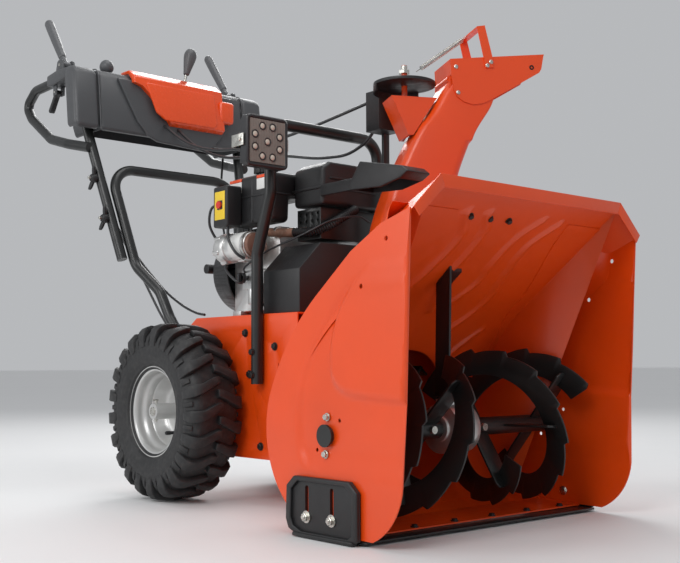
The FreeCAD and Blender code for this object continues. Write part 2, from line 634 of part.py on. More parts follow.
def chute_head():
    """Fixed head that steadies the chute's top pivot: cover disc, gear body and post to the drum."""
    disc = ring((CHUTE_X, CHUTE_Y, DISC_Z), (CHUTE_X, CHUTE_Y, DISC_Z + 6), 65.0, 6.4)
    dome = Part.makeCone(63.0, 30.0, 6.0, V(CHUTE_X, CHUTE_Y, DISC_Z + 6), Z)
    dome = dome.cut(rod((CHUTE_X, CHUTE_Y, DISC_Z), (CHUTE_X, CHUTE_Y, DISC_Z + 20), 14.0))
    rim = ring((CHUTE_X, CHUTE_Y, DISC_Z - 14), (CHUTE_X, CHUTE_Y, DISC_Z + 1), 65.0, 62.0)
    rim = rim.cut(box(CHUTE_X - 90, CHUTE_X + 90, CHUTE_Y - 90, CHUTE_Y + 20, DISC_Z - 30, DISC_Z))
    outline = [(54.0, 440.0), (CHUTE_X - 20, CHUTE_Y + 52), (CHUTE_X + 36, CHUTE_Y + 50), (112.0, 440.0),
               (112.0, 478.0), (54.0, 478.0)]
    body = slab_z(outline, 786.0, DISC_Z + 6)
    body = body.cut(rod((CHUTE_X, CHUTE_Y, 700), (CHUTE_X, CHUTE_Y, DISC_Z - 0.01), 62.0))
    post = box(POST_X - 8, POST_X + 8, 463, 470, 240, 790)
    foot = box(POST_X - 24, POST_X + 8, 470, 473, 200, 300)
    head = union([disc, dome, rim, body, post, foot])
    return head.cut(rod((0, 300, AUGER_Z), (0, DRUM_BACK_Y, AUGER_Z), DRUM_R))


POST_X = 100.0


# ---- chassis and engine ----
def chassis_case():
    """Folded sheet case: sides, deck and rear wall, open below and at the front."""
    rear = CASE_BACK_Y
    outline = [(CASE_FRONT_Y, CASE_LOW_Z), (700.0, CASE_LOW_Z), (rear - 40, 150.0), (rear, 210.0),
               (rear, CASE_TOP_Z - 30), (rear - 50, CASE_TOP_Z), (CASE_FRONT_Y, CASE_TOP_Z)]
    inside = [(CASE_FRONT_Y - 10, 0.0), (700.0, 0.0), (700.0, CASE_LOW_Z), (rear - 43, 150.0),
              (rear - 3, 210.0), (rear - 3, CASE_TOP_Z - 31), (rear - 52, CASE_TOP_Z - 3),
              (CASE_FRONT_Y - 10, CASE_TOP_Z - 3)]
    case = slab_x(outline, -CASE_HALF, CASE_HALF).cut(slab_x(inside, -CASE_HALF + 3, CASE_HALF - 3))
    case = case.cut(rod((-200, AXLE_Y, TYRE_R), (200, AXLE_Y, TYRE_R), 16.2))
    case = case.cut(box(-60, 60, CASE_FRONT_Y + 14, CASE_FRONT_Y + 52, CASE_TOP_Z - 20, CASE_TOP_Z + 20))
    for side in (RIGHT, LEFT):
        for y, z in CASE_BOLTS:
            case = case.cut(rod((side * 100, y, z), (side * 160, y, z), 4.05))
        slot = box(*sorted((side * 120, side * 150)), 532, 541, 246, 292)
        case = case.cut(slot)
    for x, z in handlebar_bolt_places():
        case = case.cut(rod((x, 880, z), (x, 900, z), 4.05))
    return case


CASE_BOLTS = ((655.0, 357.0), (552.0, 327.0), (640.0, 270.0), (600.0, 121.0))


def case_bolts():
    """Bolts through the chassis sides, the belt cover's foot and the drum's flange."""
    found = []
    for side in (RIGHT, LEFT):
        for y, z in CASE_BOLTS:
            found.append(bolt_x(side * CASE_HALF, y, z, side))
    return found


def chassis_bottom_cover():
    """Bolted plate under the drive compartment."""
    return box(-CASE_HALF + 3.5, CASE_HALF - 3.5, CASE_FRONT_Y + 6, 690, CASE_LOW_Z, CASE_LOW_Z + 3)


ENGINE_FRONT_Y = 604.0
ENGINE_BACK_Y = 770.0


def belt_cover():
    """Moulded cover over the pulleys, with slanted shoulders."""
    y0, y1 = CASE_FRONT_Y + 2, ENGINE_FRONT_Y - 3
    outline = [(-128, CASE_TOP_Z), (128, CASE_TOP_Z), (128, 484), (72, 540), (-72, 540), (-128, 484)]
    low = CASE_TOP_Z - 5
    inside = [(-125, low), (125, low), (125, 482.5), (71, 537), (-71, 537), (-125, 482.5)]
    cover = slab_y(outline, y0, y1).cut(slab_y(inside, y0 + 3, y1 - 3))
    return cover.cut(rod((0, y1 - 20, CRANK_Z), (0, y1 + 20, CRANK_Z), 15.0))


def engine_block():
    """Crankcase with a slanted finned cylinder and head on its right side."""
    case = box(-82, 82, ENGINE_FRONT_Y, ENGINE_BACK_Y, CASE_TOP_Z + 12, 566)
    feet = [box(a, b, y, y + 30, CASE_TOP_Z, CASE_TOP_Z + 14)
            for a, b in ((-92, -60), (60, 92)) for y in (ENGINE_FRONT_Y + 6, ENGINE_BACK_Y - 36)]
    boss = rod((0, ENGINE_FRONT_Y - 2, CRANK_Z), (0, ENGINE_FRONT_Y + 10, CRANK_Z), 36.0)
    barrel = box(-46, 48, ENGINE_FRONT_Y + 10, ENGINE_FRONT_Y + 106, 550, 586)
    head = box(-60, 110, ENGINE_FRONT_Y + 18, ENGINE_FRONT_Y + 96, 566, 588)
    fins = [box(-62, 64, ENGINE_FRONT_Y + 2, ENGINE_FRONT_Y + 114, z, z + 3) for z in range(553, 588, 9)]
    engine = union([case, boss, barrel, head] + feet + fins)
    return engine.cut(rod((0, ENGINE_FRONT_Y - 5, CRANK_Z), (0, ENGINE_FRONT_Y + 70, CRANK_Z), 12.6))


def recoil_shroud():
    """Round pressed shroud over the flywheel, with the rope's outlet."""
    y0, y1 = ENGINE_BACK_Y + 0.5, ENGINE_BACK_Y + 76
    drum = Part.makeCone(104.0, 90.0, y1 - y0, V(0, y0, CRANK_Z), Y)
    core = Part.makeCone(101.0, 87.0, y1 - y0 - 3, V(0, y0 - 0.01, CRANK_Z), Y)
    shroud = drum.cut(core)
    hub = rod((0, y1 - 3, CRANK_Z), (0, y1 + 14, CRANK_Z), 62.0)
    shroud = union([shroud, hub])
    for k in range(12):
        slot = box(-4, 4, y1 - 5, y1 + 20, CRANK_Z + 66, CRANK_Z + 83)
        slot.rotate(V(0, 0, CRANK_Z), Y, 30.0 * k)
        shroud = shroud.cut(slot)
    shroud = shroud.cut(rod((0, y0 - 5, CRANK_Z), (0, y1 + 6, CRANK_Z), 40.0))
    return shroud.cut(rod((ROPE_X, y1 - 40, ROPE_Z), (ROPE_X, y1 + 60, ROPE_Z), 5.0))


ROPE_X, ROPE_Z = -48.0, CRANK_Z + 12.0
ROPE_PULL = 60.0


def recoil_handle():
    """Moulded pull handle with the stub of rope that stays in view."""
    y1 = ENGINE_BACK_Y + 76 + 14.5
    grip = rod((ROPE_X - 42, y1 + 14, ROPE_Z), (ROPE_X + 42, y1 + 14, ROPE_Z), 11.0)
    neck = Part.makeCone(9.0, 6.0, 14.0, V(ROPE_X, y1 + 14, ROPE_Z), Y * -1)
    rope = rod((ROPE_X, y1 - ROPE_PULL - 14, ROPE_Z), (ROPE_X, y1 + 4, ROPE_Z), 2.6)
    return union([grip, neck, rope])


def fuel_tank():
    """Moulded tank above the crankcase, with its filler neck."""
    lower = box(-118, -66, 590, 742, 590, 700)
    upper = box(-118, 4, 590, 742, 646, 700)
    tank = union([lower, upper])
    tank = round_edges(tank, 9.0, Z)
    neck = rod((CAP_X, CAP_Y, 698), (CAP_X, CAP_Y, 716), 21.0)
    return union([tank, neck])


CAP_X, CAP_Y = -60.0, 684.0


def fuel_cap():
    """Ribbed screw cap on the tank's neck."""
    cap = rod((CAP_X, CAP_Y, 712), (CAP_X, CAP_Y, 734), 27.0)
    for k in range(12):
        turn = math.radians(30 * k)
        x, y = CAP_X + 28.5 * math.cos(turn), CAP_Y + 28.5 * math.sin(turn)
        cap = cap.cut(rod((x, y, 705), (x, y, 740), 3.4))
    return cap.cut(rod((CAP_X, CAP_Y, 705), (CAP_X, CAP_Y, 716.4), 21.0 + GAP))


def air_cleaner_cover():
    """Snow hood over the air inlet, with the visor that an arm holds forward beside the chute."""
    main = slab_z([(-60, 488), (132, 488), (132, 586), (-60, 586)], 622, 700)
    main = round_edges(main, 8.0, Z)
    roof = slab_y([(-60, 699), (132, 699), (110, 714), (-36, 714)], 488, 586)
    hollow = box(-54, 126, 494, 580, 610, 692)
    visor = slab_x([(178.0, 640.0), (194.0, 652.0), (309.0, 677.0), (343.0, 633.0), (331.0, 624.0),
                    (252.0, 620.0), (198.0, 630.0)], -118, -57)
    visor_hollow = slab_x([(200.0, 600.0), (200.0, 647.0), (306.0, 670.0), (334.0, 634.0), (327.0, 600.0)],
                          -114, -63)
    arm = box(-63, -57, 325, 492, 638, 662)
    return union([main, roof, visor, arm]).cut(hollow).cut(visor_hollow)


def muffler():
    """Pressed muffler in its perforated guard, between the belt cover and the snow hood."""
    body = box(-50, 120, 506, 584, 552, 618)
    guard = []
    for row in range(4):
        for k in range(4):
            y, z = 516 + k * 19, 562 + row * 15
            guard.append(rod((-55, y, z), (-46, y, z), 3.5))
    return body.cut(group(guard))


def exhaust_pipe():
    """Short bent exhaust pipe from the cylinder to the muffler, under the hood."""
    points = [(-92.0, 626.0, 573.0), (-97.0, 590.0, 568.0), (-84.0, 558.0, 566.0), (-53.0, 552.0, 570.0)]
    return bent_tube(points, 24.0, 9.5)


def electric_starter():
    """Mains starter along the engine's right side: can, gear case, and its switch box above."""
    x, z = -116.0, 546.0
    can = rod((x, 650, z), (x, 726, z), 31.0)
    gear_case = union([rod((x, 726, z), (x, 766, z), 34.0), box(x - 14, -82.5, 730, 764, z - 26, z + 18)])
    cap = rod((x, 636, z), (x, 650, z), 27.0)
    housing = round_edges(box(-160, -119, 690, 744, 588, 678), 4.0, Z)
    stay = box(-122, -118.2, 700, 736, 570, 660)
    pocket = rod((-170, BUTTON_Y, BUTTON_Z), (-150, BUTTON_Y, BUTTON_Z), 8.0 + GAP)
    return union([can, gear_case, cap, housing, stay]).cut(pocket)


BUTTON_Y, BUTTON_Z = 716.0, 636.0


def starter_button():
    """Push button of the mains starter."""
    return rod((-166, BUTTON_Y, BUTTON_Z), (-155, BUTTON_Y, BUTTON_Z), 8.0)


def carburetor():
    """Carburetor, inlet elbow and choke housing on the engine's right side."""
    body = box(-118, -82.5, 640, 690, 452, 496)
    bowl = rod((-102, 664, 420), (-102, 664, 452), 17.0)
    elbow = union([rod((-100, 640, 476), (-100, 616, 476), 13.0), box(-113, -82.5, 604, 622, 462, 490)])
    return union([body, bowl, elbow]).cut(rod((-125, 672, 476), (-105, 672, 476), 5.0 + GAP))


def choke_knob():
    """Rotary choke knob on the carburetor's outer end."""
    stem = rod((-131, 672, 476), (-118.4, 672, 476), 5.0)
    disc = rod((-137, 672, 476), (-128, 672, 476), 11.0)
    wing = box(-143, -136, 669.5, 674.5, 466, 486)
    return union([stem, disc, wing])


def transmission():
    """Drive gear case between the two half axles, with its input pulley, inside the chassis."""
    case = box(-96, 96, AXLE_Y - 60, AXLE_Y + 24, TYRE_R - 40, TYRE_R + 62)
    neck = rod((0, AXLE_Y - 150, TYRE_R + 30), (0, AXLE_Y - 50, TYRE_R + 30), 10.0)
    pulley = rod((0, AXLE_Y - 150, TYRE_R + 30), (0, AXLE_Y - 130, TYRE_R + 30), 64.0)
    feet = [box(*sorted((side * 94, side * 131.9)), AXLE_Y - 20, AXLE_Y + 20, TYRE_R + 40, TYRE_R + 46)
            for side in (RIGHT, LEFT)]
    case = union([case, neck, pulley] + feet)
    return case.cut(rod((-100, AXLE_Y, TYRE_R), (100, AXLE_Y, TYRE_R), AXLE_R + 0.06))


# ---- wheels ----
def tyre(side):
    """Pneumatic tyre: a hollow carcass with rounded shoulders."""
    half = TYRE_WIDTH / 2
    outer = [(-half + 18, 88), (-half + 4, 110), (-half, 140), (-half + 6, 168), (-half + 16, TYRE_R - 4),
             (-half + 26, TYRE_R), (half - 26, TYRE_R), (half - 16, TYRE_R - 4), (half - 6, 168),
             (half, 140), (half - 4, 110), (half - 18, 88)]
    inner = [(half - 28, 88), (half - 15, 112), (half - 11, 140), (half - 18, 164), (half - 30, 174),
             (-half + 30, 174), (-half + 18, 164), (-half + 11, 140), (-half + 15, 112), (-half + 28, 88)]
    outline = [(side * WHEEL_X + x, AXLE_Y, TYRE_R + r) for x, r in outer + inner]
    carcass = polygon(outline).revolve(V(0, AXLE_Y, TYRE_R), X, 360)
    return keep_largest(carcass.cut(rim(side)))


def rim(side):
    """Two-piece steel rim with a deep dish, a hub tube and the valve's hole."""
    half = TYRE_WIDTH / 2
    barrel = [(-half + 19, 97), (-half + 14, 97), (-half + 14, 87.5), (-half + 30, 84), (-16, 76), (16, 76),
              (half - 30, 84), (half - 14, 87.5), (half - 14, 97), (half - 19, 97), (half - 19, 87.9),
              (half - 30, 87.4), (-half + 30, 87.4), (-half + 19, 87.9)]
    dish = [(-14, 80), (-18, 80), (-34, 60), (-34, 22), (-30, 22), (-30, 58)]
    x0 = side * WHEEL_X

    def spin(points):
        outline = [(x0 + side * -x, AXLE_Y, TYRE_R + r) for x, r in points]
        return polygon(outline).revolve(V(0, AXLE_Y, TYRE_R), X, 360)

    def lathe(a, b, r):
        return rod((x0 + side * a, AXLE_Y, TYRE_R), (x0 + side * b, AXLE_Y, TYRE_R), r)

    hub = lathe(-44, 50, 17.0)
    wheel = union([spin(barrel), spin(dish), hub, lathe(28, 36, 28.0)])
    wheel = wheel.cut(lathe(-60, 60, AXLE_R + 0.05))
    pin = rod((x0 + side * 42, AXLE_Y, TYRE_R - 30), (x0 + side * 42, AXLE_Y, TYRE_R + 30), 3.2)
    return wheel.cut(pin)


def axle_shaft(side):
    """Half axle from the transmission to the wheel's hub, without its cross pin."""
    inner, outer = side * 20.0, side * (WHEEL_X + 52.0)
    shaft = rod((inner, AXLE_Y, TYRE_R), (outer, AXLE_Y, TYRE_R), AXLE_R)
    x = side * (WHEEL_X + 42.0)
    shaft = shaft.cut(rod((x, AXLE_Y, TYRE_R - 30), (x, AXLE_Y, TYRE_R + 30), 3.2))
    return shaft


def axle(side):
    """Half axle and the cross pin that locks the wheel's hub to it."""
    return group([axle_shaft(side), cross_pin(side)])


def cross_pin(side):
    """Cross pin that locks a wheel's hub to its axle."""
    x = side * (WHEEL_X + 42.0)
    pin = rod((x, AXLE_Y, TYRE_R - 22), (x, AXLE_Y, TYRE_R + 24), 3.0)
    clip = rod((x - side * 5, AXLE_Y, TYRE_R + 24), (x + side * 8, AXLE_Y, TYRE_R + 24), 1.8)
    return union([pin, clip])


# ---- handlebars ----
LOWER_TUBE = [(123.0, 908.0, 235.0), (124.0, 908.0, 330.0), (134.0, 962.0, 402.0), (142.0, 994.0, 464.0),
              (158.0, 1080.0, 530.0), (188.0, 1162.0, 780.0)]
UPPER_TUBE = [(186.0, 1096.0, 545.0), (229.0, 1208.0, 886.0)]
LOOP_LINE = [(233.0, 1180.0, 828.0), (LOOP_X, 1262.0, 848.0), (LOOP_X, 1360.0, 876.0),
             (LOOP_X, 1478.0, 950.0), (LOOP_X, 1512.0, 990.0), (LOOP_X, 1458.0, LOOP_TOP_Z),
             (LOOP_X, 1318.0, LOOP_TOP_Z)]


def side_points(points, side):
    return [(side * x, y, z) for x, y, z in points]


def handlebar_lower():
    """One tube bent into a U: two legs bolted to the chassis and the crossbar between them."""
    points = side_points(LOWER_TUBE, RIGHT) + side_points(LOWER_TUBE, LEFT)[::-1]
    bar = bent_tube(points, 60.0, TUBE_R)
    for x, z in handlebar_bolt_places():
        bar = bar.cut(rod((x, 880, z), (x, 940, z), 4.05))
    return bar


def handlebar_bolt_places():
    """Where the handlebar's feet are bolted to the chassis case, as (x, z)."""
    return [(side * (LOWER_TUBE[0][0] + (z - 235.0) / 95.0), z)
            for side in (RIGHT, LEFT) for z in (250.0, 306.0)]


def handlebar_upper(side):
    """Upper tube with its welded hand loop."""
    tube = bent_tube_straight(side_points(UPPER_TUBE, side))
    loop = bent_tube(side_points(LOOP_LINE, side), 44.0, TUBE_R)
    return union([tube, loop]).cut(handlebar_lower_room())


def bent_tube_straight(points):
    return rod(points[0], points[1], TUBE_R)


def handlebar_lower_room():
    points = side_points(LOWER_TUBE, RIGHT) + side_points(LOWER_TUBE, LEFT)[::-1]
    return bent_tube(points, 60.0, TUBE_R + 0.1)


def along(points, share):
    a, b = V(*points[0]), V(*points[1])
    return a + (b - a) * share


WING_SHARES = (0.30, 0.60)


def wing_knobs():
    """Four wing knobs and their bolts that clamp the upper tubes to the lower tube."""
    found = []
    for side in (RIGHT, LEFT):
        for share in WING_SHARES:
            p = along(side_points(UPPER_TUBE, side), share)
            shank = rod((p.x + side * 13, p.y, p.z), (p.x + side * 34, p.y, p.z), 4.0)
            hub = rod((p.x + side * 13, p.y, p.z), (p.x + side * 27, p.y, p.z), 11.0)
            wings = box(*sorted((p.x + side * 14, p.x + side * 23)), p.y - 6, p.y + 6, p.z - 28, p.z + 28)
            wings.rotate(p, X, 20.0)
            knob = union([hub, shank, wings])
            found.append(knob.cut(handlebar_side_room(side)))
    return group(found)


def handlebar_side_room(side):
    points = side_points(UPPER_TUBE, side)
    return rod(points[0], points[1], TUBE_R + 0.1)


# ---- console ----
CONSOLE_OUTLINE = [(1152.0, 872.0), (1170.0, 1012.0), (1186.0, 1030.0), (1300.0, 1036.0), (1330.0, 1000.0),
                   (1312.0, 900.0), (1296.0, 872.0)]


def inset_outline(points, amount):
    """The outline shrunk about its middle and opened below."""
    cy = sum(y for y, _ in points) / len(points)
    cz = sum(z for _, z in points) / len(points)
    reach = max(abs(y - cy) for y, _ in points)
    scale = 1 - amount / reach
    return [(cy + (y - cy) * scale, cz + (z - cz) * scale - (60 if z < 880 else 0)) for y, z in points]


def console_body():
    """Moulded control panel, open below, slotted for its levers."""
    shell = slab_x(CONSOLE_OUTLINE, -CONSOLE_HALF, CONSOLE_HALF)
    shell = shell.cut(slab_x(inset_outline(CONSOLE_OUTLINE, 5.0), -CONSOLE_HALF + 4, CONSOLE_HALF - 4))
    for x, along_y, along_x in ((SPEED_X, 44, 20), (CHUTE_LEVER_X, 20, 52)):
        shell = shell.cut(box(x - along_x / 2, x + along_x / 2, LEVER_Y - along_y / 2, LEVER_Y + along_y / 2,
                              1000, 1060))
    return shell.cut(handle_envelope())


def console_end_cap(side):
    """Moulded end of the console with the arm that carries a clutch lever and a trigger."""
    x0, x1 = CONSOLE_HALF + 0.3, CONSOLE_END
    outline = [(1152.0, 872.0), (1170.0, 1012.0), (1184.0, 1030.0), (1222.0, 1036.0), (1224.0, 1000.0),
               (1206.0, 874.0)]
    inner = [(1156.0, 800.0), (1157.0, 872.0), (1175.0, 1010.0), (1187.0, 1025.0), (1218.0, 1031.0),
             (1260.0, 1031.0), (1240.0, 800.0)]
    cap = slab_x(outline, x0, x1).cut(slab_x(inner, x0 - 1, x1 - 4))
    arm = slab_x([(1214.0, 1026.0), (1222.0, 1036.0), (1262.0, 1042.0), (1306.0, 1042.0), (1352.0, 1038.0),
                  (1352.0, 1008.0), (1326.0, 1006.0), (1214.0, 1022.0)], LOOP_X - 20, LOOP_X + 20)
    ears = []
    ear = [(PIVOT_Y - 22, 1038.0), (PIVOT_Y - 12, PIVOT_Z + 12), (PIVOT_Y + 12, PIVOT_Z + 12),
           (PIVOT_Y + 22, 1038.0)]
    for a, b in ((LOOP_X - 17, LOOP_X - 12), (LOOP_X + 12, LOOP_X + 17)):
        ears.append(slab_x(ear, a, b))
    pin = rod((LOOP_X - 19, PIVOT_Y, PIVOT_Z), (LOOP_X + 19, PIVOT_Y, PIVOT_Z), 4.0)
    trigger_ears = [box(LOOP_X + a, LOOP_X + b, TRIGGER_Y - 10, TRIGGER_Y + 8, TRIGGER_Z - 8, 1012)
                    for a, b in ((-12, -8), (8, 12))]
    trigger_pin = rod((LOOP_X - 12, TRIGGER_Y, TRIGGER_Z), (LOOP_X + 12, TRIGGER_Y, TRIGGER_Z), 3.0)
    groove = box(LOOP_X - 11.9, LOOP_X + 11.9, PIVOT_Y - 14, PIVOT_Y + 70, 1038, 1100)
    whole = union([cap, arm.cut(groove), pin, trigger_pin] + ears + trigger_ears)
    whole = whole if side == LEFT else mirrored(whole)
    return keep_largest(whole.cut(handle_envelope()))


def handle_envelope():
    """Room for both upper tubes and loops in the console."""
    room = []
    for side in (RIGHT, LEFT):
        points = side_points(UPPER_TUBE, side)
        room.append(rod(points[0], points[1], TUBE_R + 0.1))
        room.append(bent_tube(side_points(LOOP_LINE, side), 44.0, TUBE_R + 0.1))
    return group(room)


def console_cover():
    """Painted cover on the middle of the console's front and top."""
    outline = [(1150.0, 905.0), (1167.0, 1016.0), (1186.0, 1036.0), (1221.0, 1038.3), (1221.0, 1044.7),
               (1180.0, 1043.0), (1150.0, 1022.0), (1134.0, 914.0)]
    cover = slab_x(outline, -128, 140)
    corner = [(-140, 900), (-10, 900), (-50, 950), (-105, 1000), (-128, 1004), (-140, 1004)]
    corner = slab_y(corner, 1100, 1166)
    cover = cover.cut(corner)
    return cover.cut(slab_x(CONSOLE_OUTLINE, -CONSOLE_HALF, CONSOLE_HALF))


# ---- levers ----
PIVOT_Y, PIVOT_Z = 1284.0, 1054.0
TRIGGER_Y, TRIGGER_Z = 1322.0, 992.0
LEVER_Y = 1240.0
LEVER_PIVOT_Z = 1010.0
SPEED_X, CHUTE_LEVER_X = -158.0, 66.0
CHUTE_LEVER_TILT = 13.2        # the lever leans left because the chute is turned left


def clutch_lever(side):
    """Moulded paddle that is pressed down on the hand loop; it springs back up."""
    x = side * LOOP_X
    hub = rod((x - 11.5, PIVOT_Y, PIVOT_Z), (x + 11.5, PIVOT_Y, PIVOT_Z), 10.0)
    tip_y, tip_z = PIVOT_Y + 100, PIVOT_Z + 134
    neck = rod((x, PIVOT_Y, PIVOT_Z), (x, PIVOT_Y + 27, PIVOT_Z + 36), 8.5)
    grip = rod((x, PIVOT_Y + 21, PIVOT_Z + 28), (x, tip_y, tip_z), 12.0)
    end = Part.makeSphere(12.0, V(x, tip_y, tip_z))
    bore = rod((x - 20, PIVOT_Y, PIVOT_Z), (x + 20, PIVOT_Y, PIVOT_Z), 4.05)
    return union([hub, neck, grip, end]).cut(bore)


def steering_trigger(side):
    """Finger trigger under the loop that frees one wheel for a turn."""
    x = side * LOOP_X
    hub = rod((x - 7.5, TRIGGER_Y, TRIGGER_Z), (x + 7.5, TRIGGER_Y, TRIGGER_Z), 7.0)
    blade = [(-4, 0), (5, 4), (44, -36), (42, -46), (34, -44)]
    blade = slab_x([(TRIGGER_Y + dy, TRIGGER_Z + dz) for dy, dz in blade], x - 7, x + 7)
    bore = rod((x - 20, TRIGGER_Y, TRIGGER_Z), (x + 20, TRIGGER_Y, TRIGGER_Z), 3.05)
    return union([hub, blade]).cut(bore)


def panel_lever(x, along_x, rod_top, knob_r, knob_length):
    """A console lever: pivot barrel inside the console, steel rod and moulded knob."""
    axis = V(0, 1, 0) if along_x else V(1, 0, 0)
    barrel = Part.makeCylinder(7.0, 20.0, V(x, LEVER_Y, LEVER_PIVOT_Z) - axis * 10, axis)
    bore = Part.makeCylinder(3.05, 40.0, V(x, LEVER_Y, LEVER_PIVOT_Z) - axis * 20, axis)
    stem = rod((x, LEVER_Y, LEVER_PIVOT_Z + 4), (x, LEVER_Y, rod_top), 4.0)
    low = Part.makeCone(knob_r * 0.45, knob_r, knob_length * 0.6, V(x, LEVER_Y, rod_top - 4), Z)
    ball = Part.makeSphere(knob_r, V(x, LEVER_Y, rod_top - 4 + knob_length * 0.6))
    return union([barrel, stem, low, ball]).cut(bore)


def speed_lever():
    return panel_lever(SPEED_X, False, 1046.0, 18.0, 20.0)


def chute_lever():
    lever = panel_lever(CHUTE_LEVER_X, True, 1086.0, 17.0, 82.0)
    lever.rotate(V(CHUTE_LEVER_X, LEVER_Y, LEVER_PIVOT_Z), Y, CHUTE_LEVER_TILT)
    return lever


def lever_pin(x, axis, spread):
    """A console lever's pivot pin in its two hangers under the panel's top."""
    centre = V(x, LEVER_Y, LEVER_PIVOT_Z)
    parts = [Part.makeCylinder(3.0, 2 * spread + 8, centre - axis * (spread + 4), axis)]
    for end in (-1, 1):
        at = centre + axis * (end * spread)
        parts.append(box(at.x - 4, at.x + 4, at.y - 4, at.y + 4, at.z - 6, at.z + 20))
    return union(parts)


def console_panel():
    """The moulded panel with its two lever pins."""
    pins = [lever_pin(SPEED_X, X, 15.0), lever_pin(CHUTE_LEVER_X, Y, 15.0)]
    body = console_body()
    return group([body] + [pin.cut(body) for pin in pins])


# ---- work light and its hoop ----
HOOP_LEG = [(148.0, 596.0, 250.0), (148.0, 596.0, 520.0), (HOOP_HALF, HOOP_Y, 640.0),
            (HOOP_HALF, HOOP_Y, HOOP_TOP_Z)]
LIGHT_X, LIGHT_Y, LIGHT_Z = -200.0, 506.0, 733.0
LIGHT_HALF = 52.0


def light_hoop():
    """Tube hoop over the engine that carries the work light, bolted to both chassis sides."""
    points = side_points(HOOP_LEG, RIGHT) + side_points(HOOP_LEG, LEFT)[::-1]
    hoop = bent_tube(points, 45.0, TUBE_R)
    for z in (268.0, 316.0):
        hoop = hoop.cut(rod((-200, 596, z), (200, 596, z), 4.1))
    return hoop


def hoop_bolts():
    """Bolts through the hoop's feet."""
    found = []
    for side in (RIGHT, LEFT):
        for z in (268.0, 316.0):
            found.append(bolt_x(side * 160.6, 596, z, side, 7.0, 5.0, 4.0, 24.0))
    return found


def handlebar_bolts():
    """Bolts that hold the lower handlebar's feet to the chassis case's rear wall."""
    found = []
    for x, z in handlebar_bolt_places():
        shank = rod((x, CASE_BACK_Y - 8, z), (x, 926, z), 4.0)
        found.append(union([shank, rod((x, 920.7, z), (x, 926, z), 7.0)]))
    return found


def frame_bolts():
    """Every bolt of the skids, chassis case, hoop and handlebar, as separate solids in one node."""
    return group(skid_bolts() + case_bolts() + hoop_bolts() + handlebar_bolts())


def light_bracket():
    """U bracket that clamps the light's two sides, with its foot on the hoop."""
    x0, x1 = LIGHT_X - LIGHT_HALF - 4.5, LIGHT_X + LIGHT_HALF + 4.5
    arms = [box(x0, x0 + 3, LIGHT_Y - 10, LIGHT_Y + 28, LIGHT_Z - 12, LIGHT_Z + 12),
            box(x1 - 3, x1, LIGHT_Y - 10, LIGHT_Y + 28, LIGHT_Z - 12, LIGHT_Z + 12)]
    back = box(x0, x1, LIGHT_Y + 26, LIGHT_Y + 29, LIGHT_Z - 12, LIGHT_Z + 12)
    clamp = box(-HOOP_HALF - 15, -HOOP_HALF + 15, LIGHT_Y + 29, HOOP_Y + 15, LIGHT_Z - 10, LIGHT_Z + 10)
    clamp = clamp.cut(rod((-HOOP_HALF, HOOP_Y, 600), (-HOOP_HALF, HOOP_Y, 800), TUBE_R + 0.1))
    screws = [rod((x0 - 4, LIGHT_Y, LIGHT_Z), (x0 + 7, LIGHT_Y, LIGHT_Z), 4.0),
              rod((x1 - 7, LIGHT_Y, LIGHT_Z), (x1 + 4, LIGHT_Y, LIGHT_Z), 4.0)]
    return union(arms + [back, clamp] + screws)


def light_housing():
    """Square cast housing with cooling fins behind."""
    x, y, z, h = LIGHT_X, LIGHT_Y, LIGHT_Z, LIGHT_HALF
    bezel = round_edges(box(x - h, x + h, y - 16, y + 4, z - h, z + h), 10.0, Y)
    bezel = bezel.cut(box(x - h + 6, x + h - 6, y - 20, y - 10, z - h + 6, z + h - 6))
    fins = [box(left, left + 4, y + 3, y + 17, z - h + 8, z + h - 8)
            for left in (x - h + 6 + k * 11.0 for k in range(8))]
    bores = rod((x - 90, y, z), (x + 90, y, z), 4.06).cut(rod((x - h + 8, y, z), (x + h - 8, y, z), 6.0))
    return union([bezel] + fins).cut(bores)


def light_lens():
    """Ribbed lens plate with its nine lamps."""
    x, y, z, h = LIGHT_X, LIGHT_Y, LIGHT_Z, LIGHT_HALF - 6.2
    plate = box(x - h, x + h, y - 14, y - 10, z - h, z + h)
    turns = [math.radians(22.5 + 45 * k) for k in range(8)]
    spots = [(0, 0)] + [(32 * math.cos(turn), 32 * math.sin(turn)) for turn in turns]
    lamps = [rod((x + a, y - 15.5, z + b), (x + a, y - 13, z + b), 5.5) for a, b in spots]
    return union([plate] + lamps)


# ---- control cables ----
CONTROL_CABLE = [(205.0, 1240.0, 868.0), (196.0, 1236.0, 790.0), (178.0, 1210.0, 700.0),
                 (156.0, 1150.0, 610.0), (134.0, 1080.0, 530.0), (118.0, 1000.0, 460.0),
                 (112.0, 930.0, 424.0), (110.0, 880.0, 408.0), (110.0, 850.0, 404.0)]


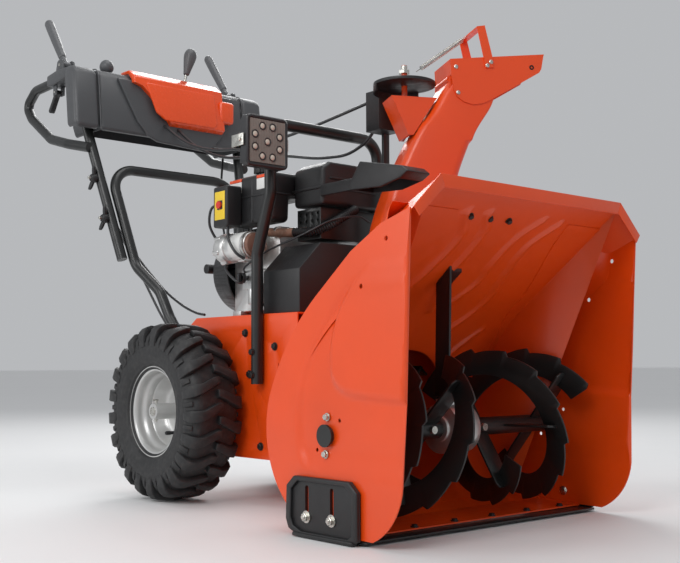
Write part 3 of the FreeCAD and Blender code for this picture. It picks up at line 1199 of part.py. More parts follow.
def cable_routes():
    """Radius and points of each control cable that is clipped along the machine."""
    return [
        (3.5, [(-40.0, 1148.0, 905.0), (-34.0, 1060.0, 846.0), (-20.0, 960.0, 812.0), (-4.0, 850.0, 803.0),
               (14.0, 740.0, 808.0), (34.0, 640.0, 822.0), (54.0, 555.0, 840.0), (70.0, 478.0, 856.0)]),
        (3.5, [(0.0, 1148.0, 900.0), (6.0, 1060.0, 836.0), (18.0, 960.0, 798.0), (32.0, 850.0, 788.0),
               (46.0, 740.0, 774.0), (62.0, 650.0, 756.0), (76.0, 565.0, 752.0), (84.0, 508.0, 774.0),
               (86.0, 478.0, 806.0)]),
        (3.0, side_points(CONTROL_CABLE, RIGHT)),
        (3.0, side_points(CONTROL_CABLE, LEFT)),
        (3.0, [(-188.0, 1250.0, 868.0), (-176.0, 1262.0, 780.0), (-156.0, 1245.0, 690.0),
               (-128.0, 1190.0, 600.0), (-112.0, 1120.0, 500.0), (-104.0, 1050.0, 410.0),
               (-100.0, 975.0, 340.0), (-99.0, 930.0, 312.0), (-98.0, CASE_BACK_Y + 1, 300.0)]),
    ]


def control_cables():
    """Every clipped control cable, trimmed where one enters the chute's head."""
    head = chute_head()
    return group(bent_tube(points, 400.0, radius).cut(head) for radius, points in cable_routes())


def both(make):
    """The right and left copies of a piece as one node."""
    return lambda: group([make(RIGHT), make(LEFT)])


NODES = {
    "housing_shell": housing_shell,
    "side_plate_right": lambda: side_plate(RIGHT),
    "side_plate_left": lambda: side_plate(LEFT),
    "scraper_bar": scraper_bar,
    "skid_shoe_right": lambda: skid_shoe(RIGHT),
    "skid_shoe_left": lambda: skid_shoe(LEFT),
    "frame_bolts": frame_bolts,
    "flange_bearings": flange_bearings,
    "auger_flight_right": lambda: auger_flight(RIGHT),
    "auger_flight_left": lambda: auger_flight(LEFT),
    "auger_shaft": lambda: group([auger_shaft(), shear_bolts()]),
    "auger_gearbox": auger_gearbox,
    "gearbox_strut": gearbox_strut,
    "impeller": impeller,
    "impeller_pulley": impeller_pulley,
    "crank_pulley": crank_pulley,
    "drive_belt": drive_belt,
    "impeller_drum": impeller_drum,
    "chute_spout": chute_spout,
    "chute_bracket": chute_bracket,
    "chute_deflector": chute_deflector,
    "deflector_spring": deflector_spring,
    "chute_head": chute_head,
    "chassis_case": lambda: group([chassis_case(), chassis_bottom_cover()]),
    "transmission": transmission,
    "belt_cover": belt_cover,
    "engine_block": engine_block,
    "recoil_shroud": recoil_shroud,
    "recoil_handle": recoil_handle,
    "fuel_tank": fuel_tank,
    "fuel_cap": fuel_cap,
    "air_cleaner_cover": air_cleaner_cover,
    "muffler": muffler,
    "exhaust_pipe": exhaust_pipe,
    "electric_starter": electric_starter,
    "starter_button": starter_button,
    "carburetor": carburetor,
    "choke_knob": choke_knob,
    "tyre_right": lambda: tyre(RIGHT),
    "tyre_left": lambda: tyre(LEFT),
    "rim_right": lambda: rim(RIGHT),
    "rim_left": lambda: rim(LEFT),
    "axle_right": lambda: axle(RIGHT),
    "axle_left": lambda: axle(LEFT),
    "handlebar_lower": handlebar_lower,
    "handlebar_upper": both(handlebar_upper),
    "wing_knobs": wing_knobs,
    "console_body": console_panel,
    "console_end_caps": both(console_end_cap),
    "console_cover": console_cover,
    "auger_clutch_lever": lambda: clutch_lever(RIGHT),
    "drive_clutch_lever": lambda: clutch_lever(LEFT),
    "steering_trigger_right": lambda: steering_trigger(RIGHT),
    "steering_trigger_left": lambda: steering_trigger(LEFT),
    "speed_lever": speed_lever,
    "chute_lever": chute_lever,
    "light_hoop": light_hoop,
    "light_bracket": light_bracket,
    "work_light": lambda: group([light_housing(), light_lens()]),
    "control_cables": control_cables,
}


def main():
    os.makedirs("parts", exist_ok=True)
    for name, make in NODES.items():
        shape = make()
        shape.translate(FRAME_SHIFT)
        shape.exportStep(f"parts/{name}.step")
        print(name, "valid" if shape.isValid() else "INVALID", len(shape.Solids), "solids",
              round(shape.Volume / 1000), "cm3")


if __name__ == "__main__":
    main()
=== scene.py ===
"""Looks of the two stage snowblower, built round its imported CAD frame."""
import json
import math

import bmesh
import bpy
from mathutils import Matrix, Quaternion, Vector, geometry

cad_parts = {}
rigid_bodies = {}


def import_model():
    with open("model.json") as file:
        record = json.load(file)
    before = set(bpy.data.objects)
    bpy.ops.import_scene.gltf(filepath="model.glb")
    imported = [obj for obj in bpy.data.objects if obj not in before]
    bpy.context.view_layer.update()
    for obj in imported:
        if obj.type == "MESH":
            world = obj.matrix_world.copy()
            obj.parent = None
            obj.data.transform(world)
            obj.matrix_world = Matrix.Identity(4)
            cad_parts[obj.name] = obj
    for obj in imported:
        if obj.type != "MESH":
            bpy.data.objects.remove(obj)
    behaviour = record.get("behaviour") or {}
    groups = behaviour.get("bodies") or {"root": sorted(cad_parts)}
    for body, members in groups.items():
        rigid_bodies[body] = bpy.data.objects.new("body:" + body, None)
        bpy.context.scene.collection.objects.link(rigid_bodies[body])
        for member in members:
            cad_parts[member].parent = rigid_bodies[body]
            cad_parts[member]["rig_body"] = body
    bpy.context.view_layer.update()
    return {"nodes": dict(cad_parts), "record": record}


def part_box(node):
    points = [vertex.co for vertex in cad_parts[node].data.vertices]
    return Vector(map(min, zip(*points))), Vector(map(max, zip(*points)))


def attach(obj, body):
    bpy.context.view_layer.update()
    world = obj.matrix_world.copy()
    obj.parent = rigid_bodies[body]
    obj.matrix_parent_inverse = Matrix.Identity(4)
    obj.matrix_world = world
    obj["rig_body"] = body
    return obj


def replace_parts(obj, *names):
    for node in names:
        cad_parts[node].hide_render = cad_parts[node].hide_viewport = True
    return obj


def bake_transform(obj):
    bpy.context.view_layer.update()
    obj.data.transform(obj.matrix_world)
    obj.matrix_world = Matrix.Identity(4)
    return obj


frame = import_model()
NODES = frame["nodes"]

# ---- places ----
# Machine coordinates are millimetres: x from the middle plane, y back from the intake, z up.
MIDDLE_X = (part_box("tyre_right")[0].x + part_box("tyre_left")[1].x) / 2
FRONT_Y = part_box("housing_shell")[0].y + 0.0255
AXLE = (820.0, 190.5)
WHEEL_X, TYRE_R, RIM_R = 211.0, 190.5, 93.0
AUGER = (189.0, 171.0)
AUGER_R, RIBBON_WIDTH, RIBBON_PITCH, RIBBON_TURNS = 150.0, 52.0, 240.0, 0.84
RIBBON_START = {-1: (15.0, 195.0), 1: (118.0, 298.0)}
HALF, SHEET = 305.0, 2.5
CHUTE_X, CHUTE_Y, CHUTE_TURN = 65.0, 371.0, 63.0
LOOP_X = 250.0
SIDES = {"right": -1, "left": 1}


def P(x, y, z):
    """Machine millimetres to the row's metres."""
    return Vector((MIDDLE_X + x / 1000, FRONT_Y + y / 1000, z / 1000))


def turned(x, reach, z):
    """A point of the turned chute: x across it, reach forward of its turning axis."""
    spin = Matrix.Rotation(math.radians(CHUTE_TURN), 3, "Z")
    at = spin @ Vector((x, -reach, 0.0))
    return P(CHUTE_X + at.x, CHUTE_Y + at.y, z)


# ---- materials ----
def noise(tree, scale, detail=3.0):
    """Noise over the piece's own space."""
    place = tree.nodes.new("ShaderNodeTexCoord")
    texture = tree.nodes.new("ShaderNodeTexNoise")
    texture.inputs["Scale"].default_value = scale
    texture.inputs["Detail"].default_value = detail
    tree.links.new(place.outputs["Object"], texture.inputs["Vector"])
    return texture.outputs["Fac"]


def spread(tree, value, low, high, start=0.3, end=0.7):
    """A texture's value mapped to a range."""
    node = tree.nodes.new("ShaderNodeMapRange")
    for name, number in (("From Min", start), ("From Max", end), ("To Min", low), ("To Max", high)):
        node.inputs[name].default_value = number
    tree.links.new(value, node.inputs["Value"])
    return node.outputs["Result"]


def blend_colours(tree, factor, first, second):
    node = tree.nodes.new("ShaderNodeMix")
    node.data_type = "RGBA"
    tree.links.new(factor, node.inputs["Factor"])
    for socket, colour in ((node.inputs[6], first), (node.inputs[7], second)):
        if isinstance(colour, bpy.types.NodeSocket):
            tree.links.new(colour, socket)
        else:
            socket.default_value = (*colour, 1.0)
    return node.outputs[2]


def shade(colour, factor):
    return tuple(min(1.0, c * factor) for c in colour)


def surface(name, colour, rough, metal=0.0, coat=0.0, grain=900.0, depth=0.00005, mottle=0.10,
            patches=7.0, rough_spread=0.06, dust=None):
    """A finish with broad colour changes, uneven gloss and a fine relief."""
    mat = bpy.data.materials.new(name)
    mat.use_nodes = True
    tree = mat.node_tree
    shader = tree.nodes["Principled BSDF"]
    shader.inputs["Metallic"].default_value = metal
    shader.inputs["Coat Weight"].default_value = coat
    shader.inputs["Coat Roughness"].default_value = 0.14
    tone = spread(tree, noise(tree, patches, 5.0), 0.0, 1.0)
    paint = blend_colours(tree, tone, shade(colour, 1 - mottle), shade(colour, 1 + mottle))
    if dust:
        share = spread(tree, noise(tree, patches * 6, 6.0), 0.0, 0.5, 0.45, 0.8)
        paint = blend_colours(tree, share, paint, dust)
    tree.links.new(paint, shader.inputs["Base Color"])
    gloss = spread(tree, noise(tree, patches * 9, 4.0), rough - rough_spread, rough + rough_spread)
    tree.links.new(gloss, shader.inputs["Roughness"])
    bump = tree.nodes.new("ShaderNodeBump")
    bump.inputs["Strength"].default_value = 0.6
    bump.inputs["Distance"].default_value = depth
    tree.links.new(noise(tree, grain, 2.0), bump.inputs["Height"])
    tree.links.new(bump.outputs["Normal"], shader.inputs["Normal"])
    return mat


M = {
    "orange_paint": surface("orange_paint", (0.78, 0.066, 0.002), 0.38, coat=0.22, grain=420, depth=0.00012,
                            mottle=0.05),
    "black_paint": surface("black_paint", (0.010, 0.011, 0.011), 0.38, coat=0.1, grain=600, depth=0.00015,
                           mottle=0.25),
    "zinc_steel": surface("zinc_steel", (0.55, 0.54, 0.50), 0.30, metal=1.0, grain=1400, mottle=0.18,
                          patches=60.0, rough_spread=0.1),
    "cast_alloy": surface("cast_alloy", (0.66, 0.66, 0.65), 0.34, metal=0.85, grain=520, depth=0.0004,
                          mottle=0.15, patches=20.0),
    "black_plastic": surface("black_plastic", (0.012, 0.012, 0.013), 0.44, grain=1100, depth=0.00022,
                             mottle=0.15),
    "grey_plastic": surface("grey_plastic", (0.062, 0.064, 0.068), 0.40, grain=1300, depth=0.00025,
                            mottle=0.08),
    "orange_plastic": surface("orange_plastic", (0.80, 0.070, 0.003), 0.26, coat=0.35, grain=300,
                              depth=0.00005, mottle=0.04),
    "lever_plastic": surface("lever_plastic", (0.085, 0.087, 0.092), 0.40, grain=1200, depth=0.0002,
                             mottle=0.10),
    "light_black": surface("light_black", (0.018, 0.018, 0.020), 0.38, grain=700, depth=0.00015, mottle=0.2),
    "belt_rubber": surface("belt_rubber", (0.015, 0.015, 0.015), 0.75, grain=800, depth=0.0003, mottle=0.2),
    "cable_sheath": surface("cable_sheath", (0.022, 0.022, 0.024), 0.36, grain=500, depth=0.0001,
                            mottle=0.15),
    "red_plastic": surface("red_plastic", (0.62, 0.02, 0.01), 0.25, coat=0.4, grain=300, mottle=0.06),
    "tyre_rubber": surface("tyre_rubber", (0.012, 0.012, 0.013), 0.55, grain=700, depth=0.0004, mottle=0.2,
                           patches=14.0, dust=(0.05, 0.048, 0.045)),
    "silver_paint": surface("silver_paint", (0.55, 0.55, 0.54), 0.36, metal=0.55, coat=0.15, grain=600,
                            depth=0.00012, mottle=0.06),
    "rusty_pipe": surface("rusty_pipe", (0.20, 0.10, 0.065), 0.6, metal=0.5, grain=400, depth=0.0005,
                          mottle=0.35, patches=40.0, dust=(0.30, 0.20, 0.15)),
}
EXTRA = {
    "lens": surface("lens", (0.21, 0.165, 0.14), 0.20, coat=0.6, grain=200, depth=0.0001, mottle=0.1),
    "lamp": surface("lamp", (0.55, 0.50, 0.42), 0.12, coat=0.8, grain=200, mottle=0.08),
    "white_label": surface("white_label", (0.72, 0.72, 0.70), 0.35, coat=0.2, grain=300, mottle=0.04),
    "yellow_label": surface("yellow_label", (0.80, 0.55, 0.02), 0.35, coat=0.2, grain=300, mottle=0.04),
    "brown_band": surface("brown_band", (0.20, 0.10, 0.07), 0.4, metal=0.3, grain=500, mottle=0.1),
    # Near-black painted shade for openings: slots and holes are drawn as dark pieces; the cutters that are
    # cut away carry it too.
    "painted_shade_black": surface("painted_shade_black", (0.004, 0.004, 0.004), 0.8, grain=300, mottle=0.2),
    "bright_cast": surface("bright_cast", (0.66, 0.66, 0.65), 0.34, metal=0.85, grain=500, depth=0.0003,
                           mottle=0.12, patches=25.0),
}


def finish_named(name):
    return M.get(name) or EXTRA[name]


# ---- meshes ----
def piece(name, verts, faces, finish, body, angle=32.0, slot=None):
    """A finished mesh that rides on a body."""
    mesh = bpy.data.meshes.new(name)
    mesh.from_pydata([tuple(v) for v in verts], [], faces)
    obj = bpy.data.objects.new(name, mesh)
    bpy.context.scene.collection.objects.link(obj)
    return dress(obj, finish, body, angle, slot)


def dress(obj, finish, body, angle=32.0, slot=None):
    """Face the mesh outwards, smooth it up to an angle, give it its finish and its body."""
    bm = bmesh.new()
    bm.from_mesh(obj.data)
    bmesh.ops.recalc_face_normals(bm, faces=bm.faces)
    bm.to_mesh(obj.data)
    bm.free()
    obj.data.shade_smooth()
    obj.data.set_sharp_from_angle(angle=math.radians(angle))
    obj.data.materials.clear()
    obj.data.materials.append(finish_named(finish))
    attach(obj, body)
    slot or (finish if finish in M else "black_plastic")
    return obj


def bake_modifiers(obj):
    graph = bpy.context.evaluated_depsgraph_get()
    mesh = bpy.data.meshes.new_from_object(obj.evaluated_get(graph))
    obj.modifiers.clear()
    obj.data = mesh
    return obj


def bevelled(obj, width, segments=3, angle=35.0):
    """Round a piece's edges; width in millimetres."""
    mod = obj.modifiers.new("bevel", "BEVEL")
    mod.width = width / 1000
    mod.segments = segments
    mod.limit_method = "ANGLE"
    mod.angle_limit = math.radians(angle)
    bake_modifiers(obj)
    obj.data.shade_smooth()
    obj.data.set_sharp_from_angle(angle=math.radians(50))
    return obj


def joined(name, objects):
    """Several pieces as one."""
    first = objects[0]
    with bpy.context.temp_override(active_object=first, selected_editable_objects=objects,
                                   selected_objects=objects):
        bpy.ops.object.join()
    first.name = name
    return first


def soften(node, width=1.2, finish=None, segments=2):
    """A CAD node's shape with its sharp edges rounded, standing for the node."""
    source = NODES[node]
    mesh = source.data.copy()
    obj = bpy.data.objects.new(node + "_look", mesh)
    bpy.context.scene.collection.objects.link(obj)
    bm = bmesh.new()
    bm.from_mesh(mesh)
    bmesh.ops.remove_doubles(bm, verts=bm.verts, dist=1e-6)
    bmesh.ops.dissolve_limit(bm, angle_limit=math.radians(0.4), verts=bm.verts, edges=bm.edges)
    bm.to_mesh(mesh)
    bm.free()
    slots = {s["node"]: s["material_slot"] for s in frame["record"]["subparts"]}
    dress(obj, finish or slots[node], source["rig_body"], slot=slots[node])
    bevelled(obj, width, segments, 40.0)
    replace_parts(obj, node)
    return obj


def prism(name, outline, place, low, high, finish, body, bevel=0.0, segments=3):
    """A closed outline carried from low to high; place turns (a, b, along) into a point."""
    count = len(outline)
    verts = [place(a, b, low) for a, b in outline] + [place(a, b, high) for a, b in outline]
    faces = [tuple(range(count)), tuple(range(count, 2 * count))]
    faces += [(i, (i + 1) % count, count + (i + 1) % count, count + i) for i in range(count)]
    obj = piece(name, verts, faces, finish, body)
    return bevelled(obj, bevel, segments) if bevel else obj


def along_x(y, z, x):
    return P(x, y, z)


def along_y(x, z, y):
    return P(x, y, z)


def along_z(x, y, z):
    return P(x, y, z)


def block(name, low, high, finish, body, bevel=2.0, segments=3):
    """A box with rounded edges, between two machine corners."""
    outline = [(low[0], low[1]), (high[0], low[1]), (high[0], high[1]), (low[0], high[1])]
    return prism(name, outline, along_z, low[2], high[2], finish, body, bevel, segments)


def frame_about(axis):
    """Two directions square to an axis."""
    axis = axis.normalized()
    side = axis.orthogonal().normalized()
    return side, axis.cross(side)


def lathe(name, profile, start, end, finish, body, steps=48, angle=32.0, closed=False):
    """Turn (distance along, radius) points about the line from start to end, in millimetres."""
    axis = (end - start).normalized()
    side, up = frame_about(axis)
    verts, faces = [], []
    for along, radius in profile:
        for k in range(steps):
            turn = 2 * math.pi * k / steps
            out = side * math.cos(turn) + up * math.sin(turn)
            verts.append(start + axis * (along / 1000) + out * (radius / 1000))
    rows = len(profile)
    for row in range(rows if closed else rows - 1):
        here, there = row * steps, (row + 1) % rows * steps
        for k in range(steps):
            nxt = (k + 1) % steps
            faces.append((here + k, here + nxt, there + nxt, there + k))
    if not closed:
        faces += [tuple(range(steps)), tuple((rows - 1) * steps + k for k in range(steps))]
    return piece(name, verts, faces, finish, body, angle)


def tube_mesh(path, radii, steps=12):
    """Vertices and faces of a round tube along a path of points, its ends closed."""
    verts, faces = [], []
    side = None
    for i, point in enumerate(path):
        heading = (path[min(i + 1, len(path) - 1)] - path[max(i - 1, 0)]).normalized()
        if side is None:
            side = heading.orthogonal().normalized()
        side = (side - heading * side.dot(heading)).normalized()
        up = heading.cross(side)
        radius = radii[i] if isinstance(radii, list) else radii
        for k in range(steps):
            turn = 2 * math.pi * k / steps
            verts.append(point + (side * math.cos(turn) + up * math.sin(turn)) * (radius / 1000))
    for i in range(len(path) - 1):
        for k in range(steps):
            nxt = (k + 1) % steps
            faces.append((i * steps + k, i * steps + nxt, (i + 1) * steps + nxt, (i + 1) * steps + k))
    faces += [tuple(range(steps)), tuple((len(path) - 1) * steps + k for k in range(steps))]
    return verts, faces


def smooth_path(points, per_span=8):
    """A smooth line through the points."""
    pts = [2 * points[0] - points[1]] + list(points) + [2 * points[-1] - points[-2]]
    found = []
    for a, b, c, d in zip(pts, pts[1:], pts[2:], pts[3:]):
        for k in range(per_span):
            t = k / per_span
            found.append(0.5 * (2 * b + (c - a) * t + (2 * a - 5 * b + 4 * c - d) * t * t
                                + (3 * b - a - 3 * c + d) * t ** 3))
    return found + [points[-1]]


def wire(name, points, radius, finish, body, steps=10, per_span=8):
    """A smooth wire, hose or rod through machine points."""
    verts, faces = tube_mesh(smooth_path([P(*p) for p in points], per_span), radius, steps)
    return piece(name, verts, faces, finish, body, 50.0)


def hex_bolt(name, at, out, body, size=13.0, head=5.5, washer=0.0, finish="zinc_steel"):
    """A hexagon head with chamfered corners, standing out along a direction, on an optional washer."""
    out = out.normalized()
    side, up = frame_about(out)
    parts = []
    base = at
    if washer:
        parts.append(lathe(name + "_washer", [(0, 4), (0, washer), (1.8, washer), (2.0, washer - 0.3),
                                              (2.0, 4)],
                           at, at + out, finish, body, 32))
        base = at + out * 0.002
    radius = size / math.cos(math.pi / 6) / 2
    verts, faces = [], []
    for along, share in ((0, 0.985), (head * 0.82, 1.0), (head, 0.86)):
        for k in range(6):
            turn = math.pi / 3 * k
            offset = (side * math.cos(turn) + up * math.sin(turn)) * (radius * share / 1000)
            verts.append(base + out * (along / 1000) + offset)
    for row in range(2):
        for k in range(6):
            nxt = (k + 1) % 6
            faces.append((row * 6 + k, row * 6 + nxt, row * 6 + 6 + nxt, row * 6 + 6 + k))
    faces += [tuple(range(6)), tuple(range(12, 18))]
    parts.append(piece(name, verts, faces, finish, body, 25.0))
    return joined(name, parts) if len(parts) > 1 else parts[0]


# ---- pressed sheets ----
def arc_points(a, m, b, count):
    """Points on the circle through a, m and b, from a to b."""
    (ax, ay), (bx, by), (cx, cy) = a, m, b
    d = 2 * (ax * (by - cy) + bx * (cy - ay) + cx * (ay - by))
    sa, sb, sc = ax * ax + ay * ay, bx * bx + by * by, cx * cx + cy * cy
    ux = (sa * (by - cy) + sb * (cy - ay) + sc * (ay - by)) / d
    uy = (sa * (cx - bx) + sb * (ax - cx) + sc * (bx - ax)) / d
    radius = math.hypot(ax - ux, ay - uy)
    t0, tm, t1 = (math.atan2(q[1] - uy, q[0] - ux) for q in (a, m, b))
    turn, middle = (t1 - t0) % (2 * math.pi), (tm - t0) % (2 * math.pi)
    if middle > turn:
        turn -= 2 * math.pi
    return [(ux + radius * math.cos(t0 + turn * k / count), uy + radius * math.sin(t0 + turn * k / count))
            for k in range(count + 1)]


def inside(point, polygon):
    """Whether a flat point is inside a polygon."""
    x, y = point
    found = False
    for (x0, y0), (x1, y1) in zip(polygon, polygon[1:] + polygon[:1]):
        if (y0 > y) != (y1 > y) and x < (x1 - x0) * (y - y0) / (y1 - y0) + x0:
            found = not found
    return found


def distance_to(point, line):
    """Shortest distance from a flat point to a line of points."""
    px, py = point
    best = 1e9
    for (x0, y0), (x1, y1) in zip(line, line[1:]):
        dx, dy = x1 - x0, y1 - y0
        share = max(0.0, min(1.0, ((px - x0) * dx + (py - y0) * dy) / (dx * dx + dy * dy)))
        best = min(best, math.hypot(px - x0 - share * dx, py - y0 - share * dy))
    return best


def ease(value, low, high):
    t = max(0.0, min(1.0, (value - low) / (high - low)))
    return t * t * (3 - 2 * t)


def circle(cx, cy, radius, count=24):
    return [(cx + radius * math.cos(2 * math.pi * k / count), cy + radius * math.sin(2 * math.pi * k / count))
            for k in range(count)]


def pressed_sheet(name, outline, holes, spacing, place, thickness, finish, body):
    """A flat outline with holes, filled with an even net of points that place() then shapes."""
    points, edges = [], []
    for loop in [outline] + holes:
        first = len(points)
        points += [Vector(q) for q in loop]
        edges += [(first + i, first + (i + 1) % len(loop)) for i in range(len(loop))]
    xs, ys = [q[0] for q in outline], [q[1] for q in outline]
    rim = outline + outline[:1]
    y = min(ys) + spacing / 2
    while y < max(ys):
        x = min(xs) + spacing / 2
        while x < max(xs):
            if inside((x, y), outline) and distance_to((x, y), rim) > spacing * 0.45:
                near = [distance_to((x, y), loop + loop[:1]) for loop in holes]
                if not any(inside((x, y), loop) for loop in holes) and min(near + [99]) > spacing * 0.3:
                    points.append(Vector((x, y)))
            x += spacing
        y += spacing
    flat, _, triangles, *_ = geometry.delaunay_2d_cdt(points, edges, [], 0, 1e-4)
    kept = []
    for tri in triangles:
        middle = tuple(sum(flat[i][k] for i in tri) / len(tri) for k in range(2))
        if inside(middle, outline) and not any(inside(middle, loop) for loop in holes):
            kept.append(tuple(tri))
    obj = piece(name, [place(q[0], q[1]) for q in flat], kept, finish, body, 60.0)
    mod = obj.modifiers.new("thickness", "SOLIDIFY")
    mod.thickness = thickness / 1000
    mod.offset = 0.0
    mod.use_even_offset = False
    bake_modifiers(obj)
    obj.data.shade_smooth()
    obj.data.set_sharp_from_angle(angle=math.radians(60))
    return obj


# ---- auger housing ----
LIP = (-25.0, 591.0)
ROOF_END = (201.0, 416.0)
BACK_ARC = (ROOF_END, (287.0, 333.0), (345.0, 232.0))
LOWER_ARC = ((345.0, 232.0), (336.0, 103.0), (225.0, 12.0))
PLATE_TOP = [(-17.0, 533.0), (51.0, 514.0), (124.0, 475.0)]
FRONT_ARC = ((75.0, 9.0), (26.0, 48.0), (6.0, 100.0))
TEARDROP = [(78.0, 455.0), (121.0, 418.0), (153.0, 382.0), (172.0, 338.0), (178.0, 296.0), (172.0, 265.0),
            (152.0, 247.0), (122.0, 239.0), (63.0, 234.0), (-30.0, 229.0)]
CRESCENT = [(96.0, 440.0), (158.0, 394.0), (206.0, 342.0), (239.0, 291.0), (257.0, 243.0), (263.0, 196.0),
            (259.0, 150.0), (244.0, 118.0)]
SKID_BOLTS = ((231.0, 34.0), (166.0, 34.0))
CUTTER_HOLES = ((38.0, 489.0), (96.0, 416.0))
BEARING_BOLTS = ((188.0, 202.0), (192.0, 140.0))
BEARING_HOLES = ((159.0, 197.0), (217.0, 146.0))


def smooth_flat(points, per_span=6):
    return [(v.x, v.y) for v in smooth_path([Vector((a, b, 0)) for a, b in points], per_span)]


def housing_profile():
    """Side line of the roof, back and floor sheet, from the lip round to the floor's front edge."""
    line = [LIP, ROOF_END] + arc_points(*BACK_ARC, 14)[1:] + arc_points(*LOWER_ARC, 22)[1:]
    return line + [(128.0, 8.0)]


def plate_outline():
    rear = arc_points(*BACK_ARC, 14) + arc_points(*LOWER_ARC, 22)[1:]
    return PLATE_TOP + rear + arc_points(*FRONT_ARC, 10) + [(0.0, 228.0)]


TEAR_LINE = smooth_flat(TEARDROP)
TEAR_AREA = TEAR_LINE + [(-60.0, 300.0), (-60.0, 455.0)]
CRESCENT_LINE = smooth_flat(CRESCENT)
CRESCENT_AREA = CRESCENT_LINE + [(150.0, 105.0), (-60.0, 105.0), (-60.0, 440.0)]


def plate_relief(y, z):
    """How far a side plate's pressing stands out, in millimetres."""
    near = distance_to((y, z), TEAR_LINE) * (1 if inside((y, z), TEAR_AREA) else -1)
    tear = 7.0 * ease(near, -4.0, 5.0) * ease(470 - z, 10, 60)
    near = distance_to((y, z), CRESCENT_LINE) * (1 if inside((y, z), CRESCENT_AREA) else -1)
    step = 5.0 * ease(near, -9.0, 9.0) * ease(z, 96, 150) * ease(455 - z, 0, 50)
    return tear - step


def side_plate(side_name):
    """Pressed side plate with its teardrop panel, soft crescent step and bolted bearing."""
    side = SIDES[side_name]
    holes = [circle(*spot, 4.2, 16) for spot in CUTTER_HOLES + SKID_BOLTS]
    holes += [circle(*spot, 3.6, 14) for spot in BEARING_HOLES]
    holes.append(circle(*AUGER, 15.5, 32))

    def place(y, z):
        return P(side * (HALF - SHEET / 2 + plate_relief(y, z)), y, z)

    plate = pressed_sheet(f"side_plate_{side_name}_pressing", plate_outline(), holes, 6.0, place, SHEET,
                          "orange_paint", "frame")
    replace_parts(plate, f"side_plate_{side_name}")
    for k, (y, z) in enumerate(BEARING_BOLTS):
        out = Vector((side, 0, 0))
        hex_bolt(f"bearing_bolt_{side_name}_{k}", P(side * (HALF - 3.6), y, z), out, "frame", 10.0, 5.0, 7.0)


PROFILE = housing_profile()


def profile_at(s):
    """Point and inward direction on the housing's side line, s millimetres from the lip."""
    for (y0, z0), (y1, z1) in zip(PROFILE, PROFILE[1:]):
        length = math.hypot(y1 - y0, z1 - z0)
        if s <= length or (y1, z1) == PROFILE[-1]:
            share = s / length
            inward = Vector((-(z0 - z1), -(y1 - y0))) / length
            return y0 + (y1 - y0) * share, z0 + (z1 - z0) * share, inward
        s -= length


def inner_point(x, s, height):
    """A point that stands a height off the housing's inner face."""
    s0, s1 = max(s - 4, 0), s + 4
    y, z, _ = profile_at(s)
    inward = (profile_at(s0)[2] + profile_at(s1)[2]).normalized()
    lift = SHEET + height
    return P(x, y + inward.x * lift, z + inward.y * lift)


RIBS = [smooth_flat([(12, 322), (29, 282), (47, 235), (42, 176), (48, 111), (74, 66)]),
        smooth_flat([(72, 372), (104, 326), (116, 275), (102, 210), (94, 131), (126, 69)]),
        [(112, 436), (140, 402), (170, 368)], [(150, 470), (176, 440)]]


def liner_relief(x, s):
    """Embossed ribs on the back sheet, millimetres off its inner face."""
    height = 0.35
    for rib in RIBS:
        near = distance_to((abs(x), s), rib)
        if near < 12:
            height = max(height, 0.35 + 4.6 * (1 - ease(near, 1.0, 9.0)))
    return height


def housing_liner():
    """Inner face of the roof and back sheet with its embossed ribs, open at the drum's mouth."""
    total = sum(math.hypot(b[0] - a[0], b[1] - a[1]) for a, b in zip(PROFILE, PROFILE[1:]))
    mouth = []
    for k in range(64):
        turn = 2 * math.pi * k / 64
        x, z = 149.5 * math.cos(turn), AUGER[1] + 149.5 * math.sin(turn)
        s = 240.0
        while profile_at(s)[1] > z and s < total - 5:
            s += 1.0
        mouth.append((x, s))
    wide = 250.0
    outline = [(-wide, 22.0), (wide, 22.0), (wide, total - 130.0), (-wide, total - 130.0)]
    pressed_sheet("housing_liner", outline, [mouth], 6.5,
                  lambda x, s: inner_point(x, s, liner_relief(x, s)), 0.5, "orange_paint", "frame")


def corner_flange(side_name):
    """The side plate's flange folded on to the back sheet through a rounded corner."""
    side = SIDES[side_name]
    radius, steps = 58.0, 12
    verts, faces = [], []
    rows = []
    s = 66.0
    while s < 640.0:
        seam = 150 + 60 * ease(s, 60, 300) + 20 * ease(s, 300, 440)
        corner = radius * ease(s, 66, 150)
        row = [(seam, 0.3), (seam + 0.6, 2.0), (HALF - SHEET - radius, 2.0)]
        for k in range(1, steps + 1):
            turn = math.pi / 2 * k / steps
            row.append((HALF - SHEET - corner + corner * math.sin(turn) - 0.6,
                        2.0 + corner * (1 - math.cos(turn))))
        rows.append([inner_point(side * x, s, h) for x, h in row])
        s += 9.0
    width = len(rows[0])
    for row in rows:
        verts += row
    for i in range(len(rows) - 1):
        for k in range(width - 1):
            faces.append((i * width + k, i * width + k + 1, (i + 1) * width + k + 1, (i + 1) * width + k))
    obj = piece(f"corner_flange_{side_name}", verts, faces, "orange_paint", "frame", 40.0)
    mod = obj.modifiers.new("thickness", "SOLIDIFY")
    mod.thickness = 0.0006
    bake_modifiers(obj)
    obj.data.shade_smooth()
    obj.data.set_sharp_from_angle(angle=math.radians(40))


def housing_fasteners():
    """Three screws under the roof and the scraper's carriage bolts."""
    for k, x in enumerate((-112.0, -62.0, -12.0)):
        at = inner_point(x, 76.0, 0.3)
        out = inner_point(x, 76.0, 10.0) - at
        hex_bolt(f"roof_screw_{k}", at, out, "frame", 9.0, 5.0, 6.5, "black_paint")
    for k in range(6):
        x = -250 + 100 * k
        hex_bolt(f"scraper_bolt_{k}", P(x, 137, 10.8), Vector((0, 0, 1)), "frame", 10.0, 3.0, 7.0,
                 "black_paint")


